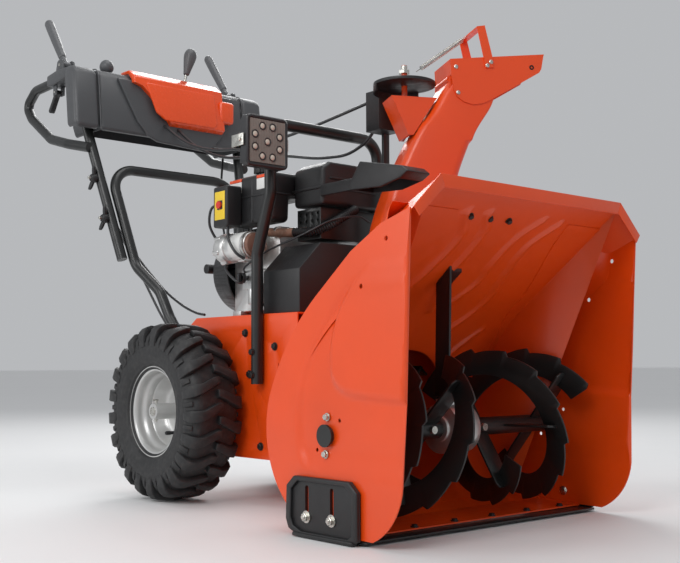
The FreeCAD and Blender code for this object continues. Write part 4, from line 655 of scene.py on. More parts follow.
def roof_lip():
    """The folded front band of the roof and of its two corner facets."""
    front = -26.2
    half = HALF - 61.0
    inner = [(half - 9.0, 571.0), (-half + 9.0, 571.0)]
    flat = [(-half, 591.5), (half, 591.5)] + inner
    prism("roof_lip_band", flat, along_y, front, front + 2.2, "orange_paint", "frame", 0.8)
    for side in (-1, 1):
        a, b = Vector((side * half, 591.5)), Vector((side * HALF, 534.0))
        across = Vector((-side * 13.0, -17.0))
        corner = [tuple(a), tuple(b), tuple(b + across * 0.9), tuple(a + Vector((-side * 9.0, -20.5)))]
        prism(f"roof_corner_band_{side + 1}", corner, along_y, front, front + 2.2, "orange_paint", "frame",
              0.8)


SKID_OUTLINE = [(100, 8), (112, 1), (250, 1), (277, 11), (284, 27), (282, 84), (262, 101), (120, 101),
                (100, 84)]


def skid_shoe(side_name):
    """Moulded shoe with rounded corners, a raised border, two slots and its ground runner."""
    side, body, node = SIDES[side_name], f"skid_{side_name}", f"skid_shoe_{side_name}"
    middle = (191.0, 52.0)
    inset = [(middle[0] + (y - middle[0]) * 0.86, middle[1] + (z - middle[1]) * 0.84) for y,
             z in SKID_OUTLINE]
    plate = prism(node + "_plate", SKID_OUTLINE, along_x, side * 305.6, side * 311.5, "black_plastic", body,
                  2.2)
    for y, _ in SKID_BOLTS:
        slot = [(y + 4.6 * math.cos(t) , (34.0 if t >= math.pi else 82.0) + 4.6 * math.sin(t))
                for t in (math.pi * k / 10 for k in range(20))]
        cut_away(plate, prism("slot", slot, along_x, side * 300, side * 320, "painted_shade_black", body))
    border = prism(node + "_border", SKID_OUTLINE, along_x, side * 309.0, side * 316.5, "black_plastic",
                   body, 2.6)
    cut_away(border, prism("room", inset, along_x, side * 300, side * 330, "painted_shade_black", body))
    sole = [(108, 0.4), (262, 0.4), (262, 7), (108, 7)]
    runner = prism(node + "_runner", sole, along_x, side * 306, side * 319.8, "black_plastic", body, 2.0)
    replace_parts(joined(node + "_look", [plate, bevelled(border, 1.4, 2, 40.0), runner]), node)


# ---- auger ----
def auger_point(x, angle, radius):
    return P(x, AUGER[0] - radius * math.sin(angle), AUGER[1] + radius * math.cos(angle))


def tooth_radius(share):
    """Outer radius of the serrated ribbon across one tooth: a long rise, then a sharp step in."""
    return AUGER_R - 10.0 * (1.0 - share)


def auger_flight(side_name):
    """Two serrated ribbons with their paddles, on the tube round the auger shaft."""
    side = SIDES[side_name]
    teeth, per_tooth, thick = 11, 12, 4.0
    parts = []
    for ribbon, degrees in enumerate(RIBBON_START[side]):
        verts, faces = [], []
        count = teeth * per_tooth
        for k in range(count + 1):
            angle = RIBBON_TURNS * 2 * math.pi * k / count
            turn = math.radians(degrees) + angle
            x = side * (50.0 + RIBBON_PITCH * angle / (2 * math.pi))
            outer = tooth_radius(k % per_tooth / per_tooth)
            inner = AUGER_R - RIBBON_WIDTH
            for dx, radius in ((-thick / 2, inner), (-thick / 2, outer), (thick / 2, outer),
                               (thick / 2, inner)):
                verts.append(auger_point(x + dx, turn, radius))
        for k in range(count):
            for i in range(4):
                j = (i + 1) % 4
                faces.append((4 * k + i, 4 * k + j, 4 * k + 4 + j, 4 * k + 4 + i))
        faces += [(0, 1, 2, 3), tuple(4 * count + i for i in range(4))]
        obj = piece(f"flight_{side_name}_ribbon_{ribbon}", verts, faces, "black_paint", "auger")
        parts.append(bevelled(obj, 0.7, 2, 60.0))
        for share in (0.10, 0.5, 0.93):
            parts.append(paddle(f"flight_{side_name}_paddle_{ribbon}_{int(share * 100)}", side, degrees,
                                share))
    x0, x1 = side * 39.0, side * 284.5
    tube = lathe(f"flight_{side_name}_tube", [(0, 9.6), (0, 17), (abs(x1 - x0), 17), (abs(x1 - x0), 9.6)],
                 P(x0, *AUGER), P(x1, *AUGER), "black_paint", "auger", 40, closed=True)
    flight = joined(f"auger_flight_{side_name}_look", parts + [tube])
    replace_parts(flight, f"auger_flight_{side_name}")


def paddle(name, side, degrees, share):
    """A bowed flat arm from the tube to the ribbon, its edges rounded."""
    angle = share * RIBBON_TURNS * 2 * math.pi
    x = side * (50.0 + RIBBON_PITCH * angle / (2 * math.pi))
    turn = math.radians(degrees) + angle
    half, thick = 20.0, 2.5

    def place(across, out, along):
        point = auger_point(x + across, turn, out)
        square = auger_point(x + across, turn + math.pi / 2, 1.0) - P(x + across, *AUGER)
        return point + square * along

    outline = [(-half, 15.0), (half, 15.0), (half + 1, 60.0), (half, 120.0), (half - 6, 128.0),
               (-half + 6, 128.0), (-half, 120.0), (-half - 1, 60.0)]
    return prism(name, outline, place, -thick, thick, "black_paint", "auger", 1.5, 2)


# ---- tyres and rims ----
TYRE_PROFILE = [(0.0, 179.5), (18.0, 179.0), (36.0, 177.0), (48.0, 171.5), (56.0, 161.0), (61.0, 144.0),
                (62.0, 128.0), (58.0, 110.0), (50.0, 97.0), (45.0, 89.5)]
LUGS = 21


def tyre_line():
    """The carcass's half section from the middle of the tread to the bead, as (x, radius)."""
    return smooth_flat(TYRE_PROFILE, 6)


LINE = tyre_line()
LINE_STEPS = [math.hypot(b[0] - a[0], b[1] - a[1]) for a, b in zip(LINE, LINE[1:])]


def carcass_at(u):
    """Point and outward direction on the half section, u millimetres from the tread's middle."""
    for (a, b, step) in zip(LINE, LINE[1:], LINE_STEPS):
        if u <= step or b == LINE[-1]:
            share = u / step
            out = Vector((-(b[1] - a[1]), b[0] - a[0])) / step
            return Vector((a[0] + (b[0] - a[0]) * share, a[1] + (b[1] - a[1]) * share)), out
        u -= step


def wheel_point(side, x, radius, turn):
    return P(side * WHEEL_X + x, AXLE[0] + radius * math.sin(turn), AXLE[1] + radius * math.cos(turn))


def tyre(side_name):
    """Carcass with sidewall rings, and two rows of swept lugs that meet in a chevron."""
    side = SIDES[side_name]
    body = f"wheel_{side_name}"
    rings = []
    for x, radius in LINE:
        lift = 0.0
        for ring, height in ((101.0, 2.2), (120.0, 1.0), (148.0, 1.2)):
            if x > 40 and abs(radius - ring) < 3.2:
                lift = max(lift, height * (1 - ease(abs(radius - ring), 0.6, 3.2)))
        rings.append((x + lift, radius))
    outer = [(-x, r) for x, r in reversed(rings)] + rings[1:]
    inner = [(36.0, 88.5), (48.0, 112.0), (52.0, 140.0), (45.0, 160.0), (30.0, 170.0), (-30.0, 170.0),
             (-45.0, 160.0), (-52.0, 140.0), (-48.0, 112.0), (-36.0, 88.5)]
    centre = P(side * WHEEL_X, *AXLE)
    carcass = lathe(f"tyre_{side_name}_carcass", outer + inner, centre, centre + Vector((1, 0, 0)),
                    "tyre_rubber", body, 120, 40.0, True)
    parts = [carcass]
    for row in (-1, 1):
        for k in range(LUGS):
            turn = 2 * math.pi * (k + (0.5 if row > 0 else 0.0)) / LUGS
            parts.append(lug(f"lug_{side_name}_{row + 1}_{k}", side, row, turn, body))
            parts.append(shoulder_rib(f"rib_{side_name}_{row + 1}_{k}", side, row, turn + math.pi / LUGS,
                                      body))
    whole = joined(f"tyre_{side_name}_look", parts)
    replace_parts(whole, f"tyre_{side_name}")


def lug(name, side, row, turn, body):
    """One lug: a swept bar from the tread's middle, over the shoulder and on to the sidewall."""
    stations = [(-4.0, 0.0, 7.0, 10.5), (8.0, 0.9, 8.5, 11.0), (22.0, 3.0, 9.0, 11.0), (36.0, 5.2, 9.5, 12.0),
                (46.0, 6.0, 11.5, 13.0), (54.0, 6.2, 12.5, 12.0), (63.0, 6.2, 12.5, 8.5),
                (74.0, 6.2, 11.0, 5.0),
                (84.0, 6.2, 9.0, 1.5)]
    verts, faces = [], []
    for u, sweep, half, height in stations:
        point, out = carcass_at(abs(u))
        x = point.x * (1 if u >= 0 else -1)
        for across, lift in ((-half - 2, -1.0), (-half, height), (half, height), (half + 2, -1.0)):
            radius = point.y + out.y * lift
            radius = min(radius, TYRE_R - 0.4)
            at = row * (x + out.x * lift * (1 if u >= 0 else -1))
            angle = turn - math.radians(sweep) + across / 180.0
            verts.append(wheel_point(side, at, radius, angle))
    for i in range(len(stations) - 1):
        for k in range(4):
            j = (k + 1) % 4
            faces.append((4 * i + k, 4 * i + j, 4 * i + 4 + j, 4 * i + 4 + k))
    last = 4 * (len(stations) - 1)
    faces += [(0, 1, 2, 3), (last, last + 1, last + 2, last + 3)]
    return bevelled(piece(name, verts, faces, "tyre_rubber", body), 1.3, 2, 40.0)


def shoulder_rib(name, side, row, turn, body):
    """A short raised bar on the sidewall between two lugs."""
    verts, faces = [], []
    stations = [(58.0, 3.0), (66.0, 4.0), (76.0, 3.0), (84.0, 0.5)]
    for u, height in stations:
        point, out = carcass_at(u)
        for across, lift in ((-6.0, -1.0), (-4.5, height), (4.5, height), (6.0, -1.0)):
            at = row * (point.x + out.x * lift)
            angle = turn - math.radians(6.0) + across / 165.0
            verts.append(wheel_point(side, at, point.y + out.y * lift, angle))
    for i in range(len(stations) - 1):
        for k in range(4):
            j = (k + 1) % 4
            faces.append((4 * i + k, 4 * i + j, 4 * i + 4 + j, 4 * i + 4 + k))
    last = 4 * (len(stations) - 1)
    faces += [(0, 1, 2, 3), (last, last + 1, last + 2, last + 3)]
    return bevelled(piece(name, verts, faces, "tyre_rubber", body), 0.8, 2, 40.0)


def rim(side_name):
    """Deep-dished steel rim with rolled flanges, hub tube and air valve."""
    side = SIDES[side_name]
    body = f"wheel_{side_name}"
    centre = P(side * WHEEL_X, *AXLE)
    out = Vector((side, 0, 0))
    barrel = smooth_flat([(50.5, 97.5), (47.5, 98.2), (46.0, 95.5), (45.0, 90.0), (38.0, 86.5), (28.0, 84.5),
                          (16.0, 77.5), (-16.0, 77.5), (-28.0, 84.5), (-38.0, 86.5), (-45.0, 90.0),
                          (-46.0, 95.5), (-47.5, 98.2), (-50.5, 97.5)], 4)
    skin = [(x, r - 2.2) for x, r in reversed(barrel)]
    parts = [lathe(f"rim_{side_name}_barrel", barrel + skin, centre, centre + out, "silver_paint", body, 96,
                   40.0, True)]
    dish = smooth_flat([(12.0, 79.0), (8.0, 74.0), (-4.0, 68.0), (-18.0, 60.0), (-22.0, 50.0), (-22.0, 34.0),
                        (-16.0, 26.0), (-10.0, 18.5)], 5)
    back = [(x - 2.4, r) for x, r in reversed(dish)]
    parts.append(lathe(f"rim_{side_name}_dish", dish + back, centre, centre + out, "silver_paint", body, 96,
                       40.0, True))
    hub = [(-44, 9.6), (-44, 16.4), (-43, 17), (49, 17), (50, 16.4), (50, 9.6)]
    parts.append(lathe(f"rim_{side_name}_hub", hub, centre, centre + out, "silver_paint", body, 48, 32.0,
                       True))
    whole = joined(f"rim_{side_name}_look", parts)
    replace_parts(whole, f"rim_{side_name}")
    valve = wheel_point(side, side * 6.0, 66.0, math.radians(-132))
    lathe(f"valve_{side_name}", [(0, 5.5), (8, 5.0), (12, 3.6), (30, 3.6), (31, 4.4), (40, 4.2), (42, 3.0)],
          valve, valve + out, "black_plastic", body, 20)


# ---- chute ----
CHUTE_BACK = [(-81.0, 452.0), (-74.0, 540.0), (-48.0, 630.0), (-15.0, 705.0), (18.0, 770.0), (45.0, 806.0),
              (68.0, 846.0), (84.0, 872.0)]
CHUTE_FRONT = [(79.0, 452.0), (80.0, 520.0), (88.0, 610.0), (104.0, 678.0), (129.0, 744.0), (143.0, 775.0),
               (170.0, 816.0), (180.0, 838.0)]
CHUTE_HALVES = [79.0, 66.0, 52.0, 48.0, 48.0, 48.0, 48.0, 48.0]
CHUTE_CORNER = [0.96, 0.62, 0.42, 0.40, 0.40, 0.40, 0.40, 0.40]
OPEN_Z = 746.0


def chute_spout():
    """Leaning spout with rounded back corners, its front open above, on a round flanged foot."""
    per_span, per_corner = 7, 9
    back = smooth_flat(CHUTE_BACK, per_span)
    front = smooth_flat(CHUTE_FRONT, per_span)
    halves = smooth_flat([(a, b) for a, b in zip(CHUTE_HALVES, CHUTE_CORNER)], per_span)
    verts, faces = [], []
    ring = 4 * per_corner
    for (br, bz), (fr, fz), (half, bend) in zip(back, front, halves):
        b, f = Vector((br, bz)), Vector((fr, fz))
        ahead = (f - b).normalized()
        depth = (f - b).length
        corner = min(half, depth / 2) * bend
        middle = (b + f) / 2
        for k, (sx, sy) in enumerate(((1, 1), (-1, 1), (-1, -1), (1, -1))):
            for step in range(per_corner):
                angle = math.pi / 2 * (k + step / (per_corner - 1))
                tight = corner if sy < 0 or fz < OPEN_Z else 3.0
                x = sx * (half - tight) + tight * math.cos(angle)
                y = sy * (depth / 2 - tight) + tight * math.sin(angle)
                at = middle + ahead * y
                verts.append(turned(x, at.x, at.y))
    for i in range(len(back) - 1):
        for k in range(ring):
            is_front = per_corner - 2 <= k <= per_corner - 1
            if is_front and front[i][1] > OPEN_Z - 4:
                continue
            nxt = (k + 1) % ring
            faces.append((i * ring + k, i * ring + nxt, (i + 1) * ring + nxt, (i + 1) * ring + k))
    obj = piece("chute_spout_shell", verts, faces, "orange_paint", "chute", 40.0)
    mod = obj.modifiers.new("thickness", "SOLIDIFY")
    mod.thickness = 0.0022
    mod.offset = -1.0
    bake_modifiers(obj)
    obj.data.shade_smooth()
    obj.data.set_sharp_from_angle(angle=math.radians(45))
    base = P(CHUTE_X, CHUTE_Y, 428)
    foot = lathe("chute_foot", [(0, 77.5), (0, 93.5), (0.8, 94), (3.5, 94), (4, 93.5), (5.5, 86), (9, 84),
                                (25, 84), (26, 83), (26, 78)], base, base + Vector((0, 0, 1)),
                 "orange_paint", "chute", 96, 40.0, True)
    whole = joined("chute_spout_look", [obj, foot])
    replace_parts(whole, "chute_spout")


def deflector_rivets():
    """Domed rivets, and a near-black ring of painted shade for the open hole, on the tilting cap's two
    cheeks.
    """
    for side in (-1, 1):
        for k, (reach, z) in enumerate(((164.0, 906.0), (172.0, 914.0), (100.0, 846.0), (96.0, 900.0))):
            at = turned(side * (53.5 if k < 2 else 50.6), reach, z)
            out = (turned(side * 80, reach, z) - at).normalized()
            lathe(f"cap_rivet_{side + 1}_{k}", [(0, 4.6), (1.2, 4.4), (2.2, 3.2), (2.7, 1.2)], at, at + out,
                  "zinc_steel", "deflector", 20)
        # A near-black ring, painted shade standing for the open hole.
        at = turned(side * 50.2, 264.0, 909.0)
        out = (turned(side * 80, 264.0, 909.0) - at).normalized()
        lathe(f"cap_hole_shade_{side + 1}", [(0, 2.4), (0, 5.2), (0.9, 5.2), (1.1, 4.4), (1.1, 2.4)], at,
              at + out,
              "painted_shade_black", "deflector", 20, 32.0, True)


def coil_spring(name, start, end, radius, gauge, turns):
    """A close-wound spring whose hooks hold the stud and the bail."""
    axis = (end - start).normalized()
    length = (end - start).length * 1000
    side, up = frame_about(axis)
    hook = 12.0
    path = [start]
    count = turns * 14
    for k in range(count + 1):
        turn = 2 * math.pi * turns * k / count
        along = hook + (length - 2 * hook) * k / count
        grow = min(1.0, k / 10, (count - k) / 10)
        out = side * math.cos(turn) + up * math.sin(turn)
        path.append(start + axis * (along / 1000) + out * (radius * grow / 1000))
    path.append(end)
    verts, faces = tube_mesh(path, gauge, 8)
    mesh = bpy.data.meshes.new(name)
    mesh.from_pydata([tuple(v) for v in verts], [], faces)
    obj = bpy.data.objects.new(name, mesh)
    bpy.context.scene.collection.objects.link(obj)
    mesh.shade_smooth()
    mesh.materials.append(finish_named("zinc_steel"))
    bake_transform(obj)
    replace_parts(obj, "deflector_spring")


def chute_nuts():
    """Hexagon nuts and the threaded end of the chute's upper pivot stud."""
    up = Vector((0, 0, 1))
    for k, z in enumerate((879.6, 892.6)):
        hex_bolt(f"pivot_nut_{k}", P(CHUTE_X, CHUTE_Y, z), up, "chute", 21.6, 7.8, 0.0)
    lathe("pivot_stud", [(0, 6.6), (9, 6.6), (10.2, 5.2)], P(CHUTE_X, CHUTE_Y, 900), P(CHUTE_X, CHUTE_Y, 911),
          "zinc_steel", "chute", 24)


# ---- work light ----
LIGHT = (-200.0, 506.0, 733.0)


def work_light():
    """Square lamp: finned body, bezel, ribbed lens and nine reflectors with their emitters."""
    x, y, z = LIGHT
    half = 52.0

    def rounded(size, corner, steps=6):
        found = []
        for k, (sx, sz) in enumerate(((1, 1), (-1, 1), (-1, -1), (1, -1))):
            for step in range(steps + 1):
                turn = math.pi / 2 * (k + step / steps)
                found.append((x + sx * (size - corner) + corner * math.cos(turn),
                              z + sz * (size - corner) + corner * math.sin(turn)))
        return found

    frames = [(half - 8, 4.0, -13.0), (half - 6, 6.0, -15.4), (half - 2.5, 9.0, -16.0), (half, 11.0, -13.5),
              (half, 11.0, 3.0), (half - 2, 10.0, 5.0)]
    verts, faces = [], []
    for size, corner, dy in frames:
        verts += [P(a, y + dy, b) for a, b in rounded(size, corner)]
    count = len(rounded(half, 5))
    for i in range(len(frames) - 1):
        for k in range(count):
            nxt = (k + 1) % count
            faces.append((i * count + k, i * count + nxt, (i + 1) * count + nxt, (i + 1) * count + k))
    faces += [tuple(range(count)), tuple((len(frames) - 1) * count + k for k in range(count))]
    parts = [piece("lamp_bezel", verts, faces, "light_black", "light", 40.0)]
    for k in range(8):
        left = x - half + 7 + k * 11.0
        parts.append(block(f"lamp_fin_{k}", (left, y + 4, z - half + 8), (left + 3.0, y + 17, z + half - 8),
                           "light_black", "light", 0.9, 2))
    whole = joined("lamp_body", parts)
    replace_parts(whole, "work_light")
    lens_half, ribs = half - 8.5, 22
    verts, faces = [], []
    for i in range(ribs * 4 + 1):
        a = -lens_half + 2 * lens_half * i / (ribs * 4)
        lift = 1.1 * math.cos(i * math.pi / 2)
        verts += [P(x + a, y - 14.2 - lift, z - lens_half), P(x + a, y - 14.2 - lift, z + lens_half),
                  P(x + a, y - 12.0, z + lens_half), P(x + a, y - 12.0, z - lens_half)]
    for i in range(ribs * 4):
        for k in range(4):
            j = (k + 1) % 4
            faces.append((4 * i + k, 4 * i + j, 4 * i + 4 + j, 4 * i + 4 + k))
    last = ribs * 16
    faces += [(0, 1, 2, 3), (last, last + 1, last + 2, last + 3)]
    piece("lamp_lens", verts, faces, "lens", "light", 40.0, "light_black")
    spots = [(0.0, 0.0)] + [(33 * math.cos(math.radians(22.5 + 45 * k)),
                             33 * math.sin(math.radians(22.5 + 45 * k)))
                            for k in range(8)]
    for k, (a, b) in enumerate(spots):
        at = P(x + a, y - 14.4, z + b)
        out = Vector((0, -1, 0))
        lathe(f"lamp_cup_{k}", [(0, 8.2), (1.2, 8.4), (1.6, 7.6), (0.7, 6.0), (0.5, 4.0)], at, at + out,
              "light_black", "light", 28)
        lathe(f"lamp_emitter_{k}", [(0.4, 5.6), (1.4, 5.0), (2.2, 3.4), (2.5, 1.0)], at, at + out, "lamp",
              "light", 24)


# ---- console ----
CONSOLE_OUTLINE = [(1152.0, 872.0), (1170.0, 1012.0), (1186.0, 1030.0), (1300.0, 1036.0), (1330.0, 1000.0),
                   (1312.0, 900.0), (1296.0, 872.0)]
CAP_OUTLINE = [(1152.0, 872.0), (1170.0, 1012.0), (1184.0, 1030.0), (1222.0, 1036.0), (1224.0, 1000.0),
               (1206.0, 874.0)]


def cut_away(obj, cutter):
    """Take one shape out of another."""
    mod = obj.modifiers.new("cut", "BOOLEAN")
    mod.operation = "DIFFERENCE"
    mod.object = cutter
    mod.solver = "EXACT"
    bake_modifiers(obj)
    bpy.data.objects.remove(cutter)
    obj.data.shade_smooth()
    obj.data.set_sharp_from_angle(angle=math.radians(38))
    return obj


def console():
    """Moulded panel with soft edges, hollow below, its lever slots, and the painted cover."""
    body = prism("console_panel", CONSOLE_OUTLINE, along_x, -217.0, 217.0, "grey_plastic", "frame", 9.0, 4)
    hollow = [(1158.0, 800.0), (1176.0, 1008.0), (1190.0, 1024.0), (1297.0, 1030.0), (1323.0, 1000.0),
              (1306.0, 902.0), (1290.0, 800.0)]
    cut_away(body, prism("room", hollow, along_x, -212.0, 212.0, "painted_shade_black", "frame"))
    for x, along_y_mm, along_x_mm in ((-158.0, 44.0, 20.0), (66.0, 20.0, 52.0)):
        slot = block("slot", (x - along_x_mm / 2, 1240 - along_y_mm / 2, 1000),
                     (x + along_x_mm / 2, 1240 + along_y_mm / 2, 1060), "painted_shade_black", "frame", 3.0)
        cut_away(body, slot)
    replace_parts(body, "console_body")
    cover = [(1150.0, 905.0), (1167.0, 1016.0), (1184.0, 1033.0), (1221.0, 1036.0), (1221.0, 1044.7),
             (1180.0, 1043.0), (1150.0, 1022.0), (1134.0, 914.0)]
    face = prism("console_cover_look", cover, along_x, -128.0, 140.0, "orange_plastic", "frame", 3.0, 3)
    corner = [(-160, 880), (-10, 880), (-50, 948), (-105, 1000), (-126, 1006), (-160, 1006)]
    cut_away(face, prism("corner", corner, along_y, 1080, 1172, "painted_shade_black", "frame"))
    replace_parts(face, "console_cover")
    block("cover_wing", (126, 1136, 936), (172, 1158, 996), "orange_plastic", "frame", 9.0, 4)
    apron = [(-168, 1014), (-152, 980), (-118, 908), (-88, 872), (-60, 860), (84, 852), (112, 868),
             (140, 900),
             (172, 960), (182, 1014)]
    prism("console_apron", apron, lambda x, z, out: P(x, 1153 + (z - 872) * 0.1286 - out, z), -3.0, 9.0,
          "grey_plastic", "frame", 5.0, 4)
    panel = [(-96, 1010), (-70, 934), (-44, 916), (104, 916), (116, 928), (112, 1010)]
    prism("cover_raised_panel", panel, lambda x, z, out: P(x, 1135 + (z - 914) * 0.150 - out, z), -4.0, 4.0,
          "orange_plastic", "frame", 3.4, 4)
    for side in (-1, 1):
        line = [(side * 217.3, y, z) for y, z in ((1153, 874), (1159, 930), (1168.5, 1004), (1173, 1018),
                                                  (1184, 1029), (1200, 1032), (1218, 1034))]
        wire(f"console_seam_{side + 1}", line, 1.5, "lever_plastic", "frame", 8, 4)


def console_ends():
    """End mouldings with a rounded outer edge, the lever brackets and trigger hangers."""
    parts = []
    for name, side in SIDES.items():
        outer = prism(f"end_cap_{name}", CAP_OUTLINE, along_x, side * 217.6, side * 285.0, "grey_plastic",
                      "frame", 13.0, 5)
        hollow = [(1158.0, 800.0), (1177.0, 1008.0), (1188.0, 1024.0), (1216.0, 1029.0), (1260.0, 1029.0),
                  (1240.0, 800.0)]
        cut_away(outer, prism("room", hollow, along_x, side * 200.0, side * 279.0, "painted_shade_black", "frame"))
        parts.append(outer)
        x = side * LOOP_X
        arm = [(1214.0, 1024.0), (1222.0, 1036.0), (1262.0, 1042.0), (1306.0, 1042.0), (1352.0, 1038.0),
               (1352.0, 1010.0), (1326.0, 1008.0), (1214.0, 1016.0)]
        bracket = prism(f"arm_{name}", arm, along_x, x - 20, x + 20, "grey_plastic", "frame", 4.0, 3)
        groove = block("groove", (x - 11.9, 1270, 1037), (x + 11.9, 1360, 1100), "painted_shade_black", "frame", 1.0)
        parts.append(cut_away(bracket, groove))
        ear = [(1262.0, 1036.0), (1270.0, 1064.0), (1278.0, 1068.0), (1290.0, 1068.0), (1298.0, 1064.0),
               (1306.0, 1036.0)]
        for a, b in ((-17.5, -12.2), (12.2, 17.5)):
            parts.append(prism(f"ear_{name}_{b}", ear, along_x, x + a, x + b, "grey_plastic", "frame", 1.2,
                               2))
            hanger = [(1312, 984), (1330, 984), (1330, 1012), (1312, 1012)]
            a2, b2 = (a + 5.3, b + 4.2) if a < 0 else (a - 4.2, b - 5.3)
            parts.append(prism(f"hanger_{name}_{b}", hanger, along_x, x + a2, x + b2, "grey_plastic", "frame",
                               1.0, 2))
        for y, z, reach, r in ((1284.0, 1054.0, 19.5, 4.0), (1322.0, 992.0, 13.5, 3.0)):
            pin = lathe(f"pin_{name}_{int(z)}", [(0, r - 0.6), (0.6, r), (2 * reach - 0.6, r),
                                                 (2 * reach, r - 0.6)],
                        P(x - reach, y, z), P(x + reach, y, z), "zinc_steel", "frame", 24)
            pin.name = f"lever_pin_{name}_{int(z)}"
    whole = joined("console_ends", parts)
    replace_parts(whole, "console_end_caps")


def clutch_lever(body, node, side):
    """Tapered grip with a rounded end and a collar, on its pivot hub."""
    x = side * LOOP_X
    pivot = P(x, 1284, 1054)
    tip = P(x, 1384, 1188)
    aim = (tip - pivot).normalized()
    length = (tip - pivot).length * 1000
    grip = [(30, 7.0), (32, 9.0), (38, 10.2), (60, 10.8), (110, 12.0), (length - 6, 12.4), (length + 3, 11.2),
            (length + 9, 7.6), (length + 11.5, 3.0)]
    parts = [lathe(node + "_grip", smooth_flat(grip, 3), pivot, pivot + aim, "lever_plastic", body, 36, 50.0)]
    parts.append(lathe(node + "_neck", [(0, 8.2), (20, 8.0), (34, 7.2)], pivot, pivot + aim, "lever_plastic",
                       body, 24))
    parts.append(lathe(node + "_hub", [(0, 4.1), (0, 9.4), (0.8, 10), (22.2, 10), (23, 9.4), (23, 4.1)],
                       P(x - 11.5, 1284, 1054), P(x + 11.5, 1284, 1054), "lever_plastic", body, 32, 32.0,
                       True))
    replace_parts(joined(node + "_look", parts), node)


def panel_lever(node, body, x, tilt, rod_top, knob):
    """A pivot barrel, steel rod and turned knob."""
    base = P(x, 1240, 1010)
    aim = Matrix.Rotation(math.radians(tilt), 3, "Y") @ Vector((0, 0, 1))
    axis = Vector((0, 1, 0)) if tilt else Vector((1, 0, 0))
    parts = [lathe(node + "_rod", [(4, 4), (rod_top, 4)], base, base + aim, "zinc_steel", body, 20),
             lathe(node + "_barrel", [(0, 3.1), (0, 7), (20, 7), (20, 3.1)], base - axis * 0.010,
                   base + axis * 0.010, "black_paint", body, 28, 32.0, True)]
    profile = smooth_flat(knob, 4)
    head = lathe(node + "_knob", profile, base, base + aim, "lever_plastic", body, 40, 50.0)
    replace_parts(joined(node + "_look", parts), node)
    head.name = node + "_knob"


def steering_trigger(side_name):
    """Curved finger trigger on its hanger pin."""
    side = SIDES[side_name]
    x = side * LOOP_X
    node = f"steering_trigger_{side_name}"
    outline = smooth_flat([(1318, 994), (1324, 999), (1334, 992), (1348, 974), (1362, 958), (1366, 952),
                           (1363, 946), (1356, 947), (1344, 962), (1330, 980), (1318, 988)], 3)
    obj = prism(node + "_look", outline, along_x, x - 7, x + 7, "black_plastic", f"trigger_{side_name}",
                2.0, 3)
    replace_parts(obj, node)


# ---- handlebar fittings ----
def wing_knobs():
    """Two-winged clamping knobs with a steel stud."""
    parts = []
    for side in (-1, 1):
        for share in (0.30, 0.60):
            low, high = Vector((186.0, 1096.0, 545.0)), Vector((229.0, 1208.0, 886.0))
            at = low + (high - low) * share
            out = Vector((side, 0, 0))
            start = P(side * (at.x + 12.7), at.y, at.z)
            name = f"wing_{side + 1}_{int(share * 100)}"
            parts.append(lathe(name + "_hub", [(0, 11), (3, 12), (9, 11.5), (14, 8), (15, 5)], start,
                               start + out,
                               "black_plastic", "frame", 28))
            parts.append(lathe(name + "_stud", [(12, 4), (20, 4), (21, 3)], start, start + out, "zinc_steel",
                               "frame", 16))
            for wing in (-1, 1):
                lean = math.radians(20)
                outline = smooth_flat([(4, 2), (9, 12), (8, 24), (4, 30), (-2, 30), (-7, 24), (-8, 12),
                                       (-6, 2)], 2)

                def place(a, b, along, wing=wing, at=at, side=side, lean=lean):
                    dy, dz = a * 0.75, wing * b
                    y = dy * math.cos(lean) - dz * math.sin(lean)
                    z = dy * math.sin(lean) + dz * math.cos(lean)
                    return P(side * (at.x + 14 + along + abs(b) * 0.22), at.y + y, at.z + z)

                parts.append(prism(f"{name}_wing_{wing + 1}", outline, place, 0.0, 6.5, "black_plastic",
                                   "frame",
                                   1.8, 3))
    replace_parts(joined("wing_knobs_look", parts), "wing_knobs")


# ---- fasteners that the record keeps as plain cylinders ----
def frame_bolts():
    """Hexagon heads, washers and threads of the frame's bolts."""
    parts = []
    for side in (-1, 1):
        out = Vector((side, 0, 0))
        for k, (y, z) in enumerate(SKID_BOLTS):
            at = P(side * 311.7, y, z)
            parts.append(hex_bolt(f"skid_nut_{side + 1}_{k}", at, out, "frame", 13.0, 6.0, 10.5))
            parts.append(lathe(f"skid_stud_{side + 1}_{k}", [(0, 4), (9.5, 4), (10.3, 3.2)], at, at + out,
                               "zinc_steel", "frame", 20))
            inner = P(side * 302.4, y, z)
            parts.append(lathe(f"skid_head_{side + 1}_{k}", [(0, 9), (1.5, 9), (3.6, 7), (4.6, 3.5)], inner,
                               inner - out, "zinc_steel", "frame", 28))
        for k, (y, z) in enumerate(((655.0, 357.0), (552.0, 327.0), (640.0, 270.0), (600.0, 121.0))):
            parts.append(hex_bolt(f"case_bolt_{side + 1}_{k}", P(side * 135.0, y, z), out, "frame", 11.5, 4.2,
                                  8.5, "black_paint"))
        for k, z in enumerate((268.0, 316.0)):
            parts.append(hex_bolt(f"hoop_bolt_{side + 1}_{k}", P(side * 160.6, 596, z), out, "frame", 11.5,
                                  4.0,
                                  7.0, "black_paint"))
        for k, z in enumerate((250.0, 306.0)):
            x = side * (123.0 + (z - 235.0) / 95.0)
            parts.append(hex_bolt(f"foot_bolt_{side + 1}_{k}", P(x, 920.4, z), Vector((0, 1, 0)), "frame",
                                  12.0,
                                  4.5))
    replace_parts(joined("frame_bolts_look", parts), "frame_bolts")


